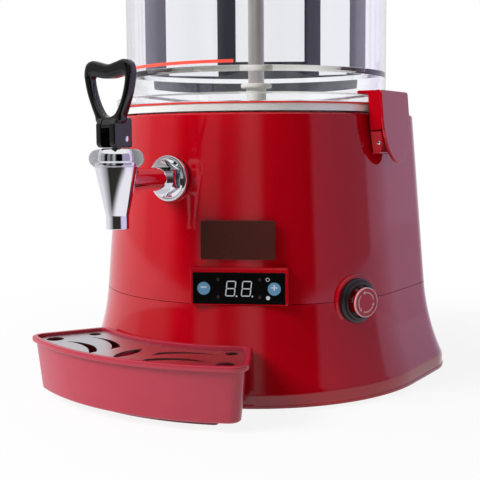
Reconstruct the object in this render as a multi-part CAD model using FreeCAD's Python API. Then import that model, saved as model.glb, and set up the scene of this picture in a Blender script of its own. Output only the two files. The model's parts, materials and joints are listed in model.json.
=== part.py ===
import FreeCAD, Part

import math
import os

from FreeCAD import Vector

# Hot chocolate dispenser: a clear tank clamped on a heating pan, in a red D-shaped housing,
# with a lever tap in front, a drip tray hooked below it and a stirrer on the tank's axis.
#
# Everything is drawn about the tank's axis, with z = 0 on the skirt's lower edge, +X to the
# right seen from the front, and the tap towards -Y. "Bearing" is the angle about the axis from
# the front (-Y) towards +X. save() moves each piece to the stored frame. Sizes are millimetres.

X_AXIS, Y_AXIS, Z_AXIS = Vector(1, 0, 0), Vector(0, 1, 0), Vector(0, 0, 1)
ORIGIN = Vector(0, 0, 0)

# ---- clearances ------------------------------------------------------------------------------
RUNNING = 0.05      # a shaft in its bush, a pin in its bore
SLIP = 0.2          # pieces that are put together by hand
MOVING = 0.4        # faces of pieces that move past each other
SEAT = 0.3          # a loose piece above what it rests on
PRESS = 0.02        # faces of pieces that are pressed or screwed together

# ---- tank, gasket and heating pan ------------------------------------------------------------
TANK_RADIUS = 105.0
TANK_WALL = 3.0
TANK_HEIGHT = 270.0
FOOT_WALL = 6.5         # the tank's wall below its inner shoulder
SHOULDER_HEIGHT = 25.8
SHOULDER_CHAMFER = 4.0
FLANGE_OUT = 8.3        # the flange stands out past the tank's wall
FLANGE_HEIGHT = 5.8
GASKET_THICKNESS = 1.2
GASKET_OUT = 0.8        # the gasket stands out past the rim
PAN_SHEET = 1.0
PAN_DEPTH = 75.0
PAN_CORNER = 8.0
RIM_OUT = 13.5          # the pan's rolled rim stands out past its wall
RIM_HEIGHT = 5.2
RIM_EDGE = 1.2
RIM_ABOVE_DECK = 6.0    # top of the rim above the housing's deck

# ---- plan of the housing ---------------------------------------------------------------------
SEAM_OUT = 11.4         # the housing widens by this much from its top edge to the seam
FLARE_OUT = 15.8        # and the skirt by this much from the seam to its lower band
CORNER_ROUND = 30.0     # radius of the rear corners at the housing's top edge
CORNER_Y = 53.0         # their centres behind the tank's axis
BEAD = 0.8              # the skirt's bead stands this far out

# ---- heights ---------------------------------------------------------------------------------
FOOT_HEIGHT = 2.5       # the feet lift the skirt off the counter
BAND_HEIGHT = 10.0
BEAD_HEIGHT = 3.0
SEAM_Z = 70.0
SEAM_GAP = 0.4
LAP_TONGUE = 1.1        # the housing's tongue inside the skirt's upper edge
LAP_DEPTH = 5.0
HOUSING_HEIGHT = 136.0
WALL = 3.0
EDGE_ROUND = 2.5
COLLAR_GAP = 7.0        # the deck's collar stands this far outside the pan's wall

# ---- lid -------------------------------------------------------------------------------------
LID_SHEET = 3.0
LID_OVERHANG = 2.5
LID_SKIRT = 6.0
LID_RISE = 11.0
LID_CROWN = 30.0        # radius of the flat crown
KNOB_RADIUS = 19.0
KNOB_HEIGHT = 20.0
KNOB_NECK = 8.0
LID_SCREW = 2.0
LID_SCREW_LENGTH = 14.0

# ---- stirrer and its drive -------------------------------------------------------------------
SHAFT_RADIUS = 3.0
PIPE_RADIUS = 5.0       # stand pipe welded in the pan
PIPE_WALL = 1.0
PIPE_BELOW = 8.0
STIRRER_RADIUS = 6.5
STIRRER_WALL = 1.0
STIRRER_DROP = 31.2     # the tube ends this far below the tank's top
PIPE_DROP = 12.0        # and the stand pipe this far below the tube's top
BUSH_LENGTH = 12.0
BUSH_FLANGE = 1.5
CAP_RADIUS = 9.0
CAP_HEIGHT = 20.0
CAP_LAP = 8.0
CAP_SOCKET = 6.0        # depth of the cap's socket for the drive shaft
PADDLE_CLEAR = 20.5     # between the vanes and the pan's wall
PADDLE_LIFT = 2.5
PADDLE_WIDTH = 7.0
PADDLE_BAR = 6.0
VANE_THICKNESS = 3.0
VANE_HEIGHT = 40.0
VANE_WIDTH = 32.0
VANE_ROUND = 14.0
STUB_HEIGHT = 10.0
HUB_RADIUS = 14.5
HUB_HEIGHT = 90.5
HUB_ROUND = 4.0
COUPLING_RADIUS = 8.0
COUPLING_LENGTH = 20.0
COUPLING_LIFT = 6.0
MOTOR_RADIUS = 30.0
MOTOR_HEIGHT = 46.0
MOTOR_SHAFT = 3.5
MOTOR_SHAFT_OUT = 15.7  # the shaft's end above the bracket
MOTOR_SCREW_DEPTH = 6.0
BRACKET_DROP = 39.0     # top of the motor's bracket below the pan's floor
BRACKET_SHEET = 2.0
BRACKET_WIDTH = 50.0
BRACKET_SPAN = 84.0
BRACKET_FOOT = 12.0

# ---- heater ----------------------------------------------------------------------------------
HEATER_RING = 60.0
HEATER_TUBE = 4.0
HEATER_LEG = 12.0
HEATER_GAP_DEG = 30.0
CLAMP_WIDTH = 26.0
CLAMP_SHEET = 1.2
STUD_RADIUS = 2.0
STUD_LENGTH = 14.0
STUD_CIRCLE = 50.0
STUD_COUNT = 3
STUD_NUT_FLATS = 7.0
STUD_NUT_HEIGHT = 3.2
SENSOR_CIRCLE = 32.0
CUTOUT_RADIUS = 8.0
CUTOUT_HEIGHT = 5.0
PROBE_RADIUS = 3.0
PROBE_LENGTH = 12.0

# ---- tap: heights are from the pipe's axis ---------------------------------------------------
TAP_OUT = 64.0          # tap's axis in front of the housing's top edge
PIPE_ABOVE_FLOOR = 22.0     # the pipe's axis above the pan's floor
TAP_PIPE_RADIUS = 8.35
TAP_BORE = 5.0
CONE_ABOVE = 10.0
CONE_TOP_RADIUS = 14.65
CONE_BELOW = 23.0
OUTLET_RADIUS = 7.75
OUTLET_BELOW = 32.0
OUTLET_BORE = 5.2
CHAMBER_RADIUS = 10.5
SEAT_BELOW = 19.0
SEAT_SLOPE = 10.0       # height of the valve seat's cone
SHANK_PAST_NUT = 1.9
ESCUTCHEON_RADIUS = 16.5
ESCUTCHEON_DEPTH = 4.0
NUT_FLATS = 23.0
NUT_DEPTH = 7.0
LOCK_NUT_FLATS = 22.0
LOCK_NUT_DEPTH = 6.0
SEAL_RADIUS = 13.0
SEAL_DEPTH = 2.6
BONNET_RADIUS = 13.0
BONNET_HEIGHT = 12.0
BONNET_PLUG = 4.0
BONNET_FLANGE = 2.5
BONNET_SEAL = 2.0
WING_RADIUS = 5.9
WING_THICKNESS = 5.0
WING_SPAN = 37.0
WING_BEARING = 131.0
STEM_RADIUS = 3.0
STEM_DEPTH = 5.0        # the stem's foot above the valve seat
CUP_HEIGHT = 12.0
VALVE_CUP_RADIUS = 7.5
VALVE_SPRING_PRESSED = 4.0

# ---- tap lever: heights are from the bonnet's top --------------------------------------------
LEVER_WIDTH = 16.3
LEVER_FRONT = 11.0      # front face ahead of the tap's axis
LEVER_REAR = 7.3
LEVER_HEIGHT = 20.0
LEVER_CAM_ROUND = 5.0
LEVER_SLOT = 8.0
EYE_RADIUS = 4.6
PIVOT_BACK = 2.0        # lever pin behind the tap's axis
PIVOT_ABOVE = 6.0
LEVER_PIN_RADIUS = 2.0
SLOT_ABOVE_EYE = 2.7
LOOP_DEPTH = 6.5
LOOP_FRONT = 8.2        # front face of the loop ahead of the tap's axis
LOOP_HEIGHT = 40.0
LOOP_HALF_WIDTH = 20.2
LOOP_BAR = 4.8
LOOP_EDGE = 1.4

# ---- latches ---------------------------------------------------------------------------------
LATCH_HALF_WIDTH = 24.5
LATCH_SHEET = 2.2
LATCH_PIN_OFF = 5.8     # pin's axis off the housing's side
LATCH_PIN_BELOW = 23.0  # and below the housing's top
LATCH_PIN_RADIUS = 1.5
LATCH_FACE_OFF = 6.0    # the tongue's outer face outside the pin's axis
LATCH_DROP = 15.4       # the tongue's tip below the pin
LATCH_CURVE = 35.0      # height of the tongue's rounded end
LATCH_SIDE = 2.5
LIP_HEIGHT = 3.0        # top of the lip above the tank's flange
LIP_GAP = 1.0           # between the lip and the tank's wall
LUG_WIDTH = 12.0
LUG_RADIUS = 3.4
LUG_GAP = 9.0
LUG_BELOW = 7.0
LUG_ABOVE = 8.0
PAD_SHEET = 2.0
LUG_SCREW_Z = -4.6
LUG_SCREW_DEPTH = 4.0
LUG_SCREW_SETBACK = 0.6
SPRING_COIL = 3.0
SPRING_BORE = 2.0
SPRING_WIRE = 1.2

# ---- display and nameplate -------------------------------------------------------------------
PANEL_BEARING = 26.0
PANEL_PROUD = 0.6       # face of the display's surround outside the seam
PANEL_WIDTH = 65.7
PANEL_HEIGHT = 23.5
PANEL_DEPTH = 16.0
SURROUND_SIDE = 1.9
SURROUND_TOP = 3.5
SURROUND_EDGE = 0.8
OVERLAY_THICKNESS = 1.8
OVERLAY_INSET = 0.5
WINDOW_WIDTH = 58.0
WINDOW_HEIGHT = 16.0
BOARD_BACK = 9.0        # front face of the board behind the overlay's back
BOARD_SHEET = 1.6
PEG_RADIUS = 1.8
KEY_RADIUS = 3.0
KEY_PLACE = 25.0        # the two keys left and right of the digits
DIGITS_WIDTH = 25.0
DIGITS_HEIGHT = 14.0
PLATE_BEARING = 25.6
PLATE_WIDTH = 53.0
PLATE_HEIGHT = 27.5
PLATE_THICKNESS = 2.0
PLATE_ABOVE_SEAM = 46.0
PLATE_ROUND = 1.5
PLATE_OFF = 0.6
FOAM_INSET = 4.5

# ---- stop switch: depths are from the face of its boss ---------------------------------------
STOP_BEARING = 67.7
STOP_BELOW_SEAM = 0.5
STOP_PROUD = 0.8        # face of the boss outside the seam
STOP_BOSS = 19.3
STOP_BOSS_DEPTH = 14.0
STOP_HOLE = 11.15
STOP_COLLAR = 16.4
STOP_STEP = 13.8
STOP_NECK = 8.8
STOP_HEAD = 10.85
STOP_HEAD_OUT = 10.3
STOP_ROD = 4.0
STOP_PRESS = 4.0
STOP_SHOULDER = 12.2
STOP_SHOULDER_DEPTH = 4.0
STOP_NUT_DEPTH = 3.0
STOP_BLOCK_WIDTH = 30.0
STOP_BLOCK_DEPTH = 24.0
STOP_BLOCK_BEHIND = 24.2

# ---- drip tray and grid ----------------------------------------------------------------------
TRAY_GAP = 2.2          # between the tray's rim and the skirt
TRAY_DEPTH = 62.0       # from the rim's rear edge to its front edge
TRAY_HALF_DEG = 30.5
TRAY_TOP = 43.0
TRAY_BOTTOM = 2.5
TRAY_WALL = 2.5
TRAY_DRAFT = 4.5
TRAY_FOOT_GAP = 2.0     # between the tray's rear wall at its foot and the skirt's bead
RIM_WIDTH = 3.0
RIM_BEAD = 4.0
TRAY_CORNER_FRONT = 16.0
TRAY_CORNER_REAR = 6.0
GRID_SHEET = 1.2
GRID_DROP = 2.3         # grid's top below the rim's top
GRID_LEDGE = 3.0
TRAY_FOOT_INSET = 9.0
TAB_WIDTH = 14.0        # two flat tabs that slide below the skirt's edge
TAB_BEARING = 12.0
TAB_REACH = 12.0
TAB_CLEAR = 0.5

# ---- base ------------------------------------------------------------------------------------
BASE_SHEET = 1.5
BASE_Z = 3.0
COLUMN_RADIUS = 5.0
COLUMN_INSET = 8.9      # plan offset of the columns' axes inside the seam
COLUMN_BEARING = 50.0
REAR_COLUMN_DEG = 16.0
COLUMN_ABOVE_SEAM = 25.0
WEB_THICKNESS = 2.4
WEB_DROP = 8.0
SCREW_RADIUS = 1.8
SCREW_HEAD = 3.5
SCREW_HEAD_HEIGHT = 2.0
FOOT_RADIUS = 11.0
FOOT_INSET = 24.2       # plan offset of the feet inside the skirt's band
FOOT_FRONT_DEG = 37.3
FOOT_REAR_DEG = 33.0
VENT_WIDTH = 4.0
VENT_LENGTH = 40.0
VENT_PITCH = 12.0
VENT_COUNT = 5
VENT_X = 78.0
GLAND_Z = 35.0
GLAND_HOLE = 8.0
GLAND_FLANGE = 11.0
GLAND_LENGTH = 22.0
GLAND_NOSE = 6.0
GLAND_BORE = 3.9
POWER_BOARD_LENGTH = 70.0
POWER_BOARD_WIDTH = 46.0
POWER_BOARD_TO_REAR = 66.837    # its middle in front of the rear band's outside
TRANSFORMER = (26.0, 28.0, 24.0)    # length, width and height
RELAY = (16.0, 20.0, 16.0)
TERMINALS = (8.0, 36.0, 10.0)
SPACER_HEIGHT = 8.0
SPACER_RADIUS = 3.0

# ---- sizes that follow -----------------------------------------------------------------------
PAN_RADIUS = TANK_RADIUS - FOOT_WALL        # the pan's wall is level with the tank's foot
RIM_RADIUS = PAN_RADIUS + RIM_OUT
FLANGE_RADIUS = TANK_RADIUS + FLANGE_OUT
TANK_BORE = TANK_RADIUS - TANK_WALL

TOP_RADIUS = RIM_RADIUS                     # front half circle at the housing's top edge
SEAM_RADIUS = TOP_RADIUS + SEAM_OUT
BAND_RADIUS = SEAM_RADIUS + FLARE_OUT
SKIRT_RADIUS = BAND_RADIUS + BEAD
CORNER_X = TOP_RADIUS - CORNER_ROUND
CORNER_DEG = math.degrees(math.atan2(CORNER_Y, CORNER_X))
CORNER_DISTANCE = math.hypot(CORNER_X, CORNER_Y)
TAPER = SEAM_OUT / HOUSING_HEIGHT
TAPER_DEG = math.degrees(math.atan(TAPER))

HOUSING_TOP = SEAM_Z + HOUSING_HEIGHT
PAN_RIM_Z = HOUSING_TOP + RIM_ABOVE_DECK
PAN_FLOOR = PAN_RIM_Z - PAN_DEPTH           # inside face of the pan's floor
TANK_Z = PAN_RIM_Z + GASKET_THICKNESS
FLANGE_TOP = TANK_Z + FLANGE_HEIGHT
TANK_TOP = TANK_Z + TANK_HEIGHT
BASE_TOP = BASE_Z + BASE_SHEET
COLUMN_TOP = SEAM_Z + COLUMN_ABOVE_SEAM
COLUMN_OFFSET = SEAM_RADIUS - COLUMN_INSET

STIRRER_TOP = TANK_TOP - STIRRER_DROP
PIPE_TOP = STIRRER_TOP - PIPE_DROP
DECK_Z = PAN_FLOOR - BRACKET_DROP
PADDLE_REACH = PAN_RADIUS - PADDLE_CLEAR
VANE_INNER = PADDLE_REACH - VANE_WIDTH

FLARE_HEIGHT = SEAM_Z - SEAM_GAP / 2 - BAND_HEIGHT
FLARE_LEAN = math.radians(TAPER_DEG)
FLARE_RADIUS = ((FLARE_OUT ** 2 + FLARE_HEIGHT ** 2)
                / (2 * (FLARE_OUT * math.cos(FLARE_LEAN) - FLARE_HEIGHT * math.sin(FLARE_LEAN))))
FLARE_X = SEAM_RADIUS + FLARE_RADIUS * math.cos(FLARE_LEAN)
FLARE_Z = SEAM_Z - SEAM_GAP / 2 + FLARE_RADIUS * math.sin(FLARE_LEAN)


def housing_radius(z):
    """Plan offset of the upper housing's outer face at height z."""
    return TOP_RADIUS + TAPER * (HOUSING_TOP - z)


def skirt_radius(z):
    """The same for the skirt, whose hollow flare carries on the housing's taper at the seam."""
    return FLARE_X - math.sqrt(FLARE_RADIUS ** 2 - (z - FLARE_Z) ** 2)


def rear_reach(radius):
    """How far behind the axis the plan reaches at that offset."""
    return CORNER_DISTANCE + radius - CORNER_X


TAP_REACH = TOP_RADIUS + TAP_OUT            # tap's axis in front of the tank's axis
PIPE_Z = PAN_FLOOR + PIPE_ABOVE_FLOOR       # axis of the tap's pipe
CONE_TOP_Z = PIPE_Z + CONE_ABOVE
CONE_BOTTOM_Z = PIPE_Z - CONE_BELOW
OUTLET_Z = PIPE_Z - OUTLET_BELOW
SEAT_Z = PIPE_Z - SEAT_BELOW
SEAL_FLAT = PAN_RADIUS - PAN_SHEET - SEAL_DEPTH
SHANK_END = SEAL_FLAT - LOCK_NUT_DEPTH - SHANK_PAST_NUT
ESCUTCHEON_BACK = housing_radius(PIPE_Z - ESCUTCHEON_RADIUS) + SEAT
BONNET_TOP = CONE_TOP_Z + BONNET_HEIGHT
LEVER_BOTTOM = BONNET_TOP + SEAT
LEVER_TOP = BONNET_TOP + LEVER_HEIGHT
PIVOT_Z = BONNET_TOP + PIVOT_ABOVE
LEVER_SLOT_TOP = PIVOT_Z + EYE_RADIUS + SLOT_ABOVE_EYE
LOOP_TOP = LEVER_TOP + LOOP_HEIGHT

LATCH_PIN_Z = HOUSING_TOP - LATCH_PIN_BELOW
LATCH_TOP = FLANGE_TOP + LIP_HEIGHT
LATCH_LIP_RADIUS = TANK_RADIUS + LIP_GAP

PANEL_FACE = SEAM_RADIUS + PANEL_PROUD
PANEL_TOP = SEAM_Z + PANEL_HEIGHT
OVERLAY_BACK = PANEL_FACE - OVERLAY_INSET - OVERLAY_THICKNESS
PLATE_Z = SEAM_Z + PLATE_ABOVE_SEAM

STOP_Z = SEAM_Z - STOP_BELOW_SEAM
STOP_FACE = SEAM_RADIUS + STOP_PROUD
STOP_HEAD_FACE = STOP_FACE + STOP_HEAD_OUT
STOP_BLOCK_FRONT = STOP_FACE - STOP_BLOCK_BEHIND
STOP_BLOCK_BACK = STOP_BLOCK_FRONT - STOP_BLOCK_DEPTH

TRAY_REAR = skirt_radius(TRAY_TOP - RIM_BEAD) + TRAY_GAP    # radii about the tank's axis
TRAY_FRONT = TRAY_REAR + TRAY_DEPTH
TRAY_REAR_DRAFT = SKIRT_RADIUS + TRAY_FOOT_GAP - TRAY_REAR  # the rear wall clears the skirt
GLAND_FACE = rear_reach(skirt_radius(GLAND_Z - GLAND_FLANGE))
POWER_BOARD_Y = rear_reach(BAND_RADIUS) - POWER_BOARD_TO_REAR
AXIS_Y = (TRAY_FRONT - rear_reach(SKIRT_RADIUS)) / 2


# ---- basic shapes ----------------------------------------------------------------------------
def box(x0, x1, y0, y1, z0, z1):
    return Part.makeBox(x1 - x0, y1 - y0, z1 - z0, Vector(x0, y0, z0))


def rod(radius, z0, z1, x=0.0, y=0.0):
    return Part.makeCylinder(radius, z1 - z0, Vector(x, y, z0))


def rod_y(radius, y0, y1, x=0.0, z=0.0):
    return Part.makeCylinder(radius, y1 - y0, Vector(x, y0, z), Y_AXIS)


def rod_x(radius, x0, x1, y=0.0, z=0.0):
    return Part.makeCylinder(radius, x1 - x0, Vector(x0, y, z), X_AXIS)


def fused(shapes):
    shapes = list(shapes)
    if len(shapes) == 1:
        return shapes[0]
    return shapes[0].multiFuse(shapes[1:]).removeSplitter()


def cut(shape, *tools):
    return shape.cut(list(tools))


def moved(shape, x=0.0, y=0.0, z=0.0):
    copy = shape.copy()
    copy.translate(Vector(x, y, z))
    return copy


def turned(shape, degrees, axis=Z_AXIS, centre=ORIGIN):
    copy = shape.copy()
    copy.rotate(centre, axis, degrees)
    return copy


def mirrored(shape):
    """The same piece on the left side."""
    return shape.mirror(ORIGIN, X_AXIS)


def outline(steps, to_point):
    """A closed wire. Each step is a point, or (via, end) for an arc; to_point places (a, b)."""
    edges = []
    start = steps[0]
    last = start
    for step in steps[1:] + [start]:
        if isinstance(step[0], tuple):
            via, end = step
            edges.append(Part.Arc(to_point(last), to_point(via), to_point(end)).toShape())
            last = end
        elif math.dist(step, last) > 1e-7:
            edges.append(Part.LineSegment(to_point(last), to_point(step)).toShape())
            last = step
    return Part.Wire(edges)


def profile(steps):
    """A face in the plane through the axis; points are (radius, z)."""
    return Part.Face(outline(steps, lambda p: Vector(p[0], 0, p[1])))


def turning(steps, x=0.0, y=0.0):
    """A turned piece about an upright axis at x, y."""
    return moved(profile(steps).revolve(ORIGIN, Z_AXIS, 360), x, y)


def facing_front(steps, z):
    """A turned piece about a level axis at height z; points are (radius, distance in front)."""
    upright = profile(steps).revolve(ORIGIN, Z_AXIS, 360)
    return moved(turned(upright, 90, X_AXIS), 0, 0, z)


def extruded(wire, direction):
    return Part.Face(wire).extrude(direction)


def corner_arc(centre_a, centre_b, radius, start_deg, end_deg):
    """The (via, end) step of a circular corner."""
    middle = math.radians((start_deg + end_deg) / 2)
    end = math.radians(end_deg)
    via = (centre_a + radius * math.cos(middle), centre_b + radius * math.sin(middle))
    return via, (centre_a + radius * math.cos(end), centre_b + radius * math.sin(end))


def hexagon(flats, y0, y1, z):
    """A hexagonal nut blank on a level axis, front face at y0."""
    radius = flats / math.sqrt(3)
    points = [Vector(radius * math.sin(math.radians(60 * i)), y0,
                     z + radius * math.cos(math.radians(60 * i))) for i in range(7)]
    return extruded(Part.makePolygon(points), Vector(0, y1 - y0, 0))


def around_plan(steps):
    """Carries a wall section round the D-shaped plan: front half circle, straight sides,
    rear corners and the rear arc, which is struck from the tank's axis."""
    section = profile(steps)
    front = section.revolve(ORIGIN, Z_AXIS, -180)
    side = section.extrude(Vector(0, CORNER_Y, 0))
    corner_centre = Vector(CORNER_X, CORNER_Y, 0)
    at_corner = moved(section, 0, CORNER_Y)
    corner = at_corner.revolve(corner_centre, Z_AXIS, CORNER_DEG)
    at_rear = turned(at_corner, CORNER_DEG, Z_AXIS, corner_centre)
    rear = at_rear.revolve(ORIGIN, Z_AXIS, 180 - 2 * CORNER_DEG)
    return fused([front, side, corner, rear, mirrored(side), mirrored(corner)])


def plan_plate(offset, z0, z1):
    """A flat plate of the D-shaped plan at that offset."""
    radius = offset - CORNER_X
    rear = CORNER_DISTANCE + radius
    bend = math.radians(CORNER_DEG)
    bend_mid = bend / 2
    turn_x = CORNER_X + radius * math.cos(bend)
    turn_y = CORNER_Y + radius * math.sin(bend)
    mid_x = CORNER_X + radius * math.cos(bend_mid)
    mid_y = CORNER_Y + radius * math.sin(bend_mid)
    steps = [
        (-offset, 0.0),
        ((0.0, -offset), (offset, 0.0)),
        (offset, CORNER_Y),
        ((mid_x, mid_y), (turn_x, turn_y)),
        ((0.0, rear), (-turn_x, turn_y)),
        ((-mid_x, mid_y), (-offset, CORNER_Y)),
    ]
    wire = outline(steps, lambda p: Vector(p[0], p[1], z0))
    return extruded(wire, Vector(0, 0, z1 - z0))


def outside_housing(gap):
    """All the space within reach outside the upper housing's outer face, less a gap."""
    reach = SKIRT_RADIUS + 40
    low, high = SEAM_Z - 20, HOUSING_TOP
    return around_plan([
        (housing_radius(low) + gap, low), (reach, low), (reach, high),
        (housing_radius(high) + gap, high)])


def column_places():
    """Axes of the four columns that tie the skirt to the upper housing."""
    front = math.radians(COLUMN_BEARING)
    rear = math.radians(REAR_COLUMN_DEG)
    out = COLUMN_OFFSET - CORNER_X
    places = []
    for side in (1, -1):
        places.append((side * COLUMN_OFFSET * math.sin(front), -COLUMN_OFFSET * math.cos(front)))
        places.append((side * (CORNER_X + out * math.cos(rear)), CORNER_Y + out * math.sin(rear)))
    return places


def stop_place(shape):
    """Takes a piece drawn facing front on the stop switch's level to its bearing."""
    return turned(shape, STOP_BEARING)


def save(name, *solids):
    """Writes one sub-part in the stored frame: the box's centre over the origin, feet at z = 0."""
    shape = solids[0] if len(solids) == 1 else Part.makeCompound(list(solids))
    placed = moved(shape, 0, AXIS_Y, FOOT_HEIGHT)
    placed.exportStep(f"parts/{name}.step")


# ---- housing ---------------------------------------------------------------------------------
def upper_housing():
    """Red shell with a deck, a collar under the pan's rim, the display's surround, the stop
    switch's boss and four screw bosses."""
    low = SEAM_Z + SEAM_GAP / 2
    inner_top = HOUSING_TOP - WALL
    deck_reach = CORNER_X + 1
    outer_low, inner_low = housing_radius(low), housing_radius(low) - WALL
    corner_z = HOUSING_TOP - EDGE_ROUND
    centre_r = TOP_RADIUS - EDGE_ROUND
    shell = around_plan([
        (outer_low, low),
        (housing_radius(corner_z), corner_z),
        corner_arc(centre_r, corner_z, EDGE_ROUND, 0, 90),
        (deck_reach, HOUSING_TOP), (deck_reach, inner_top),
        (housing_radius(inner_top) - WALL, inner_top),
        (inner_low, low), (inner_low, SEAM_Z - LAP_DEPTH),
        (inner_low + LAP_TONGUE, SEAM_Z - LAP_DEPTH), (inner_low + LAP_TONGUE, low)])
    hole = PAN_RADIUS + COLLAR_GAP
    collar = turning([(hole, inner_top), (hole + WALL, inner_top),
                      (hole + WALL, PAN_RIM_Z - PAN_SHEET), (hole, PAN_RIM_Z - PAN_SHEET)])
    half = PANEL_WIDTH / 2 + SURROUND_SIDE
    surround = box(-half, half, -PANEL_FACE, -PANEL_FACE + PANEL_DEPTH, low,
                   PANEL_TOP + SURROUND_TOP)
    surround = surround.makeFillet(SURROUND_EDGE, surround_front_edges(surround))
    boss = rod_y(STOP_BOSS, -STOP_FACE, -STOP_FACE + STOP_BOSS_DEPTH, 0, STOP_Z)
    shell = fused([shell, collar, turned(surround, PANEL_BEARING), stop_place(boss)])

    pocket = box(-PANEL_WIDTH / 2, PANEL_WIDTH / 2, -PANEL_FACE - 1, -OVERLAY_BACK,
                 low - 1, PANEL_TOP)
    behind = box(-half + WALL, half - WALL, -OVERLAY_BACK + 2, -PANEL_FACE + PANEL_DEPTH + 1,
                 low + 1.2, PANEL_TOP + SURROUND_TOP - 2)
    middle = (low + PANEL_TOP) / 2
    window = box(-WINDOW_WIDTH / 2, WINDOW_WIDTH / 2, -PANEL_FACE, -PANEL_FACE + PANEL_DEPTH + 1,
                 middle - WINDOW_HEIGHT / 2, middle + WINDOW_HEIGHT / 2)
    panel_cuts = [turned(tool, PANEL_BEARING) for tool in (pocket, behind, window)]
    cup = rod_y(STOP_BOSS - WALL, -STOP_FACE + WALL, -STOP_FACE + STOP_BOSS_DEPTH + 1, 0, STOP_Z)
    switch_hole = rod_y(STOP_HOLE, -STOP_FACE - 1, -STOP_FACE + STOP_BOSS_DEPTH + 1, 0, STOP_Z)
    shank_hole = rod_y(TAP_PIPE_RADIUS + SLIP, -ESCUTCHEON_BACK - 5, -PAN_RADIUS - 1, 0, PIPE_Z)
    lug_holes = [latch_frame(rod_x(SCREW_RADIUS + SLIP, -LATCH_PIN_OFF - 2 * WALL - 2,
                                   -LATCH_PIN_OFF + 1, y, LUG_SCREW_Z))
                 for y in lug_screw_places()]
    lug_holes += [mirrored(lug_hole) for lug_hole in lug_holes]
    shell = cut(shell, rod(hole, inner_top - 1, PAN_RIM_Z), *panel_cuts, *lug_holes,
                stop_place(cup), stop_place(switch_hole), shank_hole)

    inside = around_plan([(deck_reach, low), (outer_low - 0.5, low),
                          (housing_radius(COLUMN_TOP) - 0.5, COLUMN_TOP),
                          (deck_reach, COLUMN_TOP)])
    bosses = [rod(COLUMN_RADIUS, low, COLUMN_TOP, x, y) for x, y in column_places()]
    bores = [rod(SCREW_RADIUS + RUNNING, low - 1, COLUMN_TOP - 3, x, y)
             for x, y in column_places()]
    shell = fused([shell] + [boss.common(inside) for boss in bosses])
    return cut(shell, *bores)


def surround_front_edges(shape):
    """The surround's front edges, all but the one on the seam."""
    found = []
    for edge in shape.Edges:
        limits = edge.BoundBox
        if limits.YMax < -PANEL_FACE + 0.1 and limits.ZMax > SEAM_Z + 1:
            found.append(edge)
    return found


def base_skirt():
    """Red flared shell below the seam, with columns for the screws, a cut round the stop
    switch's boss and the rear hole of the cable gland."""
    top = SEAM_Z - SEAM_GAP / 2
    waist = (skirt_radius((top + BAND_HEIGHT) / 2), (top + BAND_HEIGHT) / 2)
    lap_low = SEAM_Z - LAP_DEPTH - 1
    lap_radius = SEAM_RADIUS - WALL + LAP_TONGUE + MOVING
    shell = around_plan([
        (lap_radius, top), (SEAM_RADIUS, top),
        (waist, (BAND_RADIUS, BAND_HEIGHT)),
        (BAND_RADIUS, BEAD_HEIGHT),
        corner_arc(BAND_RADIUS, BEAD_HEIGHT - BEAD, BEAD, 90, 0),
        (SKIRT_RADIUS, BEAD), corner_arc(BAND_RADIUS, BEAD, BEAD, 0, -90),
        (BAND_RADIUS - WALL, 0),
        (BAND_RADIUS - WALL, BAND_HEIGHT),
        ((waist[0] - WALL, waist[1]), (SEAM_RADIUS - WALL, lap_low)),
        (lap_radius, lap_low)])
    within = around_plan([
        (CORNER_X + 1, BASE_TOP), (BAND_RADIUS - 1, BASE_TOP), (BAND_RADIUS - 1, BAND_HEIGHT),
        ((waist[0] - 1, waist[1]), (SEAM_RADIUS - 2, top)), (CORNER_X + 1, top)])
    posts = []
    for x, y in column_places():
        posts.append(rod(COLUMN_RADIUS, BASE_TOP, top, x, y).common(within))
        centre_y = CORNER_Y if y > 0 else 0.0
        centre_x = math.copysign(CORNER_X, x) if y > 0 else 0.0
        angle = math.degrees(math.atan2(y - centre_y, x - centre_x))
        out = math.hypot(x - centre_x, y - centre_y)
        web = box(out, out + 2 * FLARE_OUT, -WEB_THICKNESS / 2, WEB_THICKNESS / 2, BASE_TOP,
                  top - WEB_DROP)
        web = moved(turned(web, angle), centre_x, centre_y)
        posts.append(web.common(within))
    pad = rod_y(GLAND_FLANGE + 1.5, rear_reach(SEAM_RADIUS), GLAND_FACE, 0, GLAND_Z)
    inside = around_plan([
        (CORNER_X + 1, BASE_TOP), (BAND_RADIUS - 2, BASE_TOP), (BAND_RADIUS - 2, BAND_HEIGHT),
        ((waist[0] - 2, waist[1]), (SEAM_RADIUS - 2, top)), (CORNER_X + 1, top)])
    shell = fused([shell, cut(pad, inside)] + posts)
    bores = [rod(SCREW_RADIUS + SLIP, BASE_TOP - 1, SEAM_Z, x, y) for x, y in column_places()]
    switch = stop_place(rod_y(STOP_BOSS + SEAT, -SKIRT_RADIUS, -STOP_FACE + STOP_BOSS_DEPTH + 1, 0, STOP_Z))
    gland = rod_y(GLAND_HOLE, rear_reach(SEAM_RADIUS) - 15, GLAND_FACE + 1, 0, GLAND_Z)
    return cut(shell, switch, gland, *bores)


def base_plate():
    """Steel bottom cover with rows of vent slots."""
    plate = plan_plate(BAND_RADIUS - WALL - SLIP, BASE_Z, BASE_TOP)
    tools = []
    for side in (1, -1):
        for i in range(VENT_COUNT):
            y = (i - (VENT_COUNT - 1) / 2) * VENT_PITCH
            x = side * VENT_X
            slot = box(x - VENT_LENGTH / 2, x + VENT_LENGTH / 2, y - VENT_WIDTH / 2,
                       y + VENT_WIDTH / 2, BASE_Z - 1, BASE_TOP + 1)
            tools.append(slot)
    tools += [rod(SCREW_RADIUS + SLIP, BASE_Z - 1, BASE_TOP + 1, x, y)
              for x, y in column_places()]
    return cut(plate, *tools)


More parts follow.
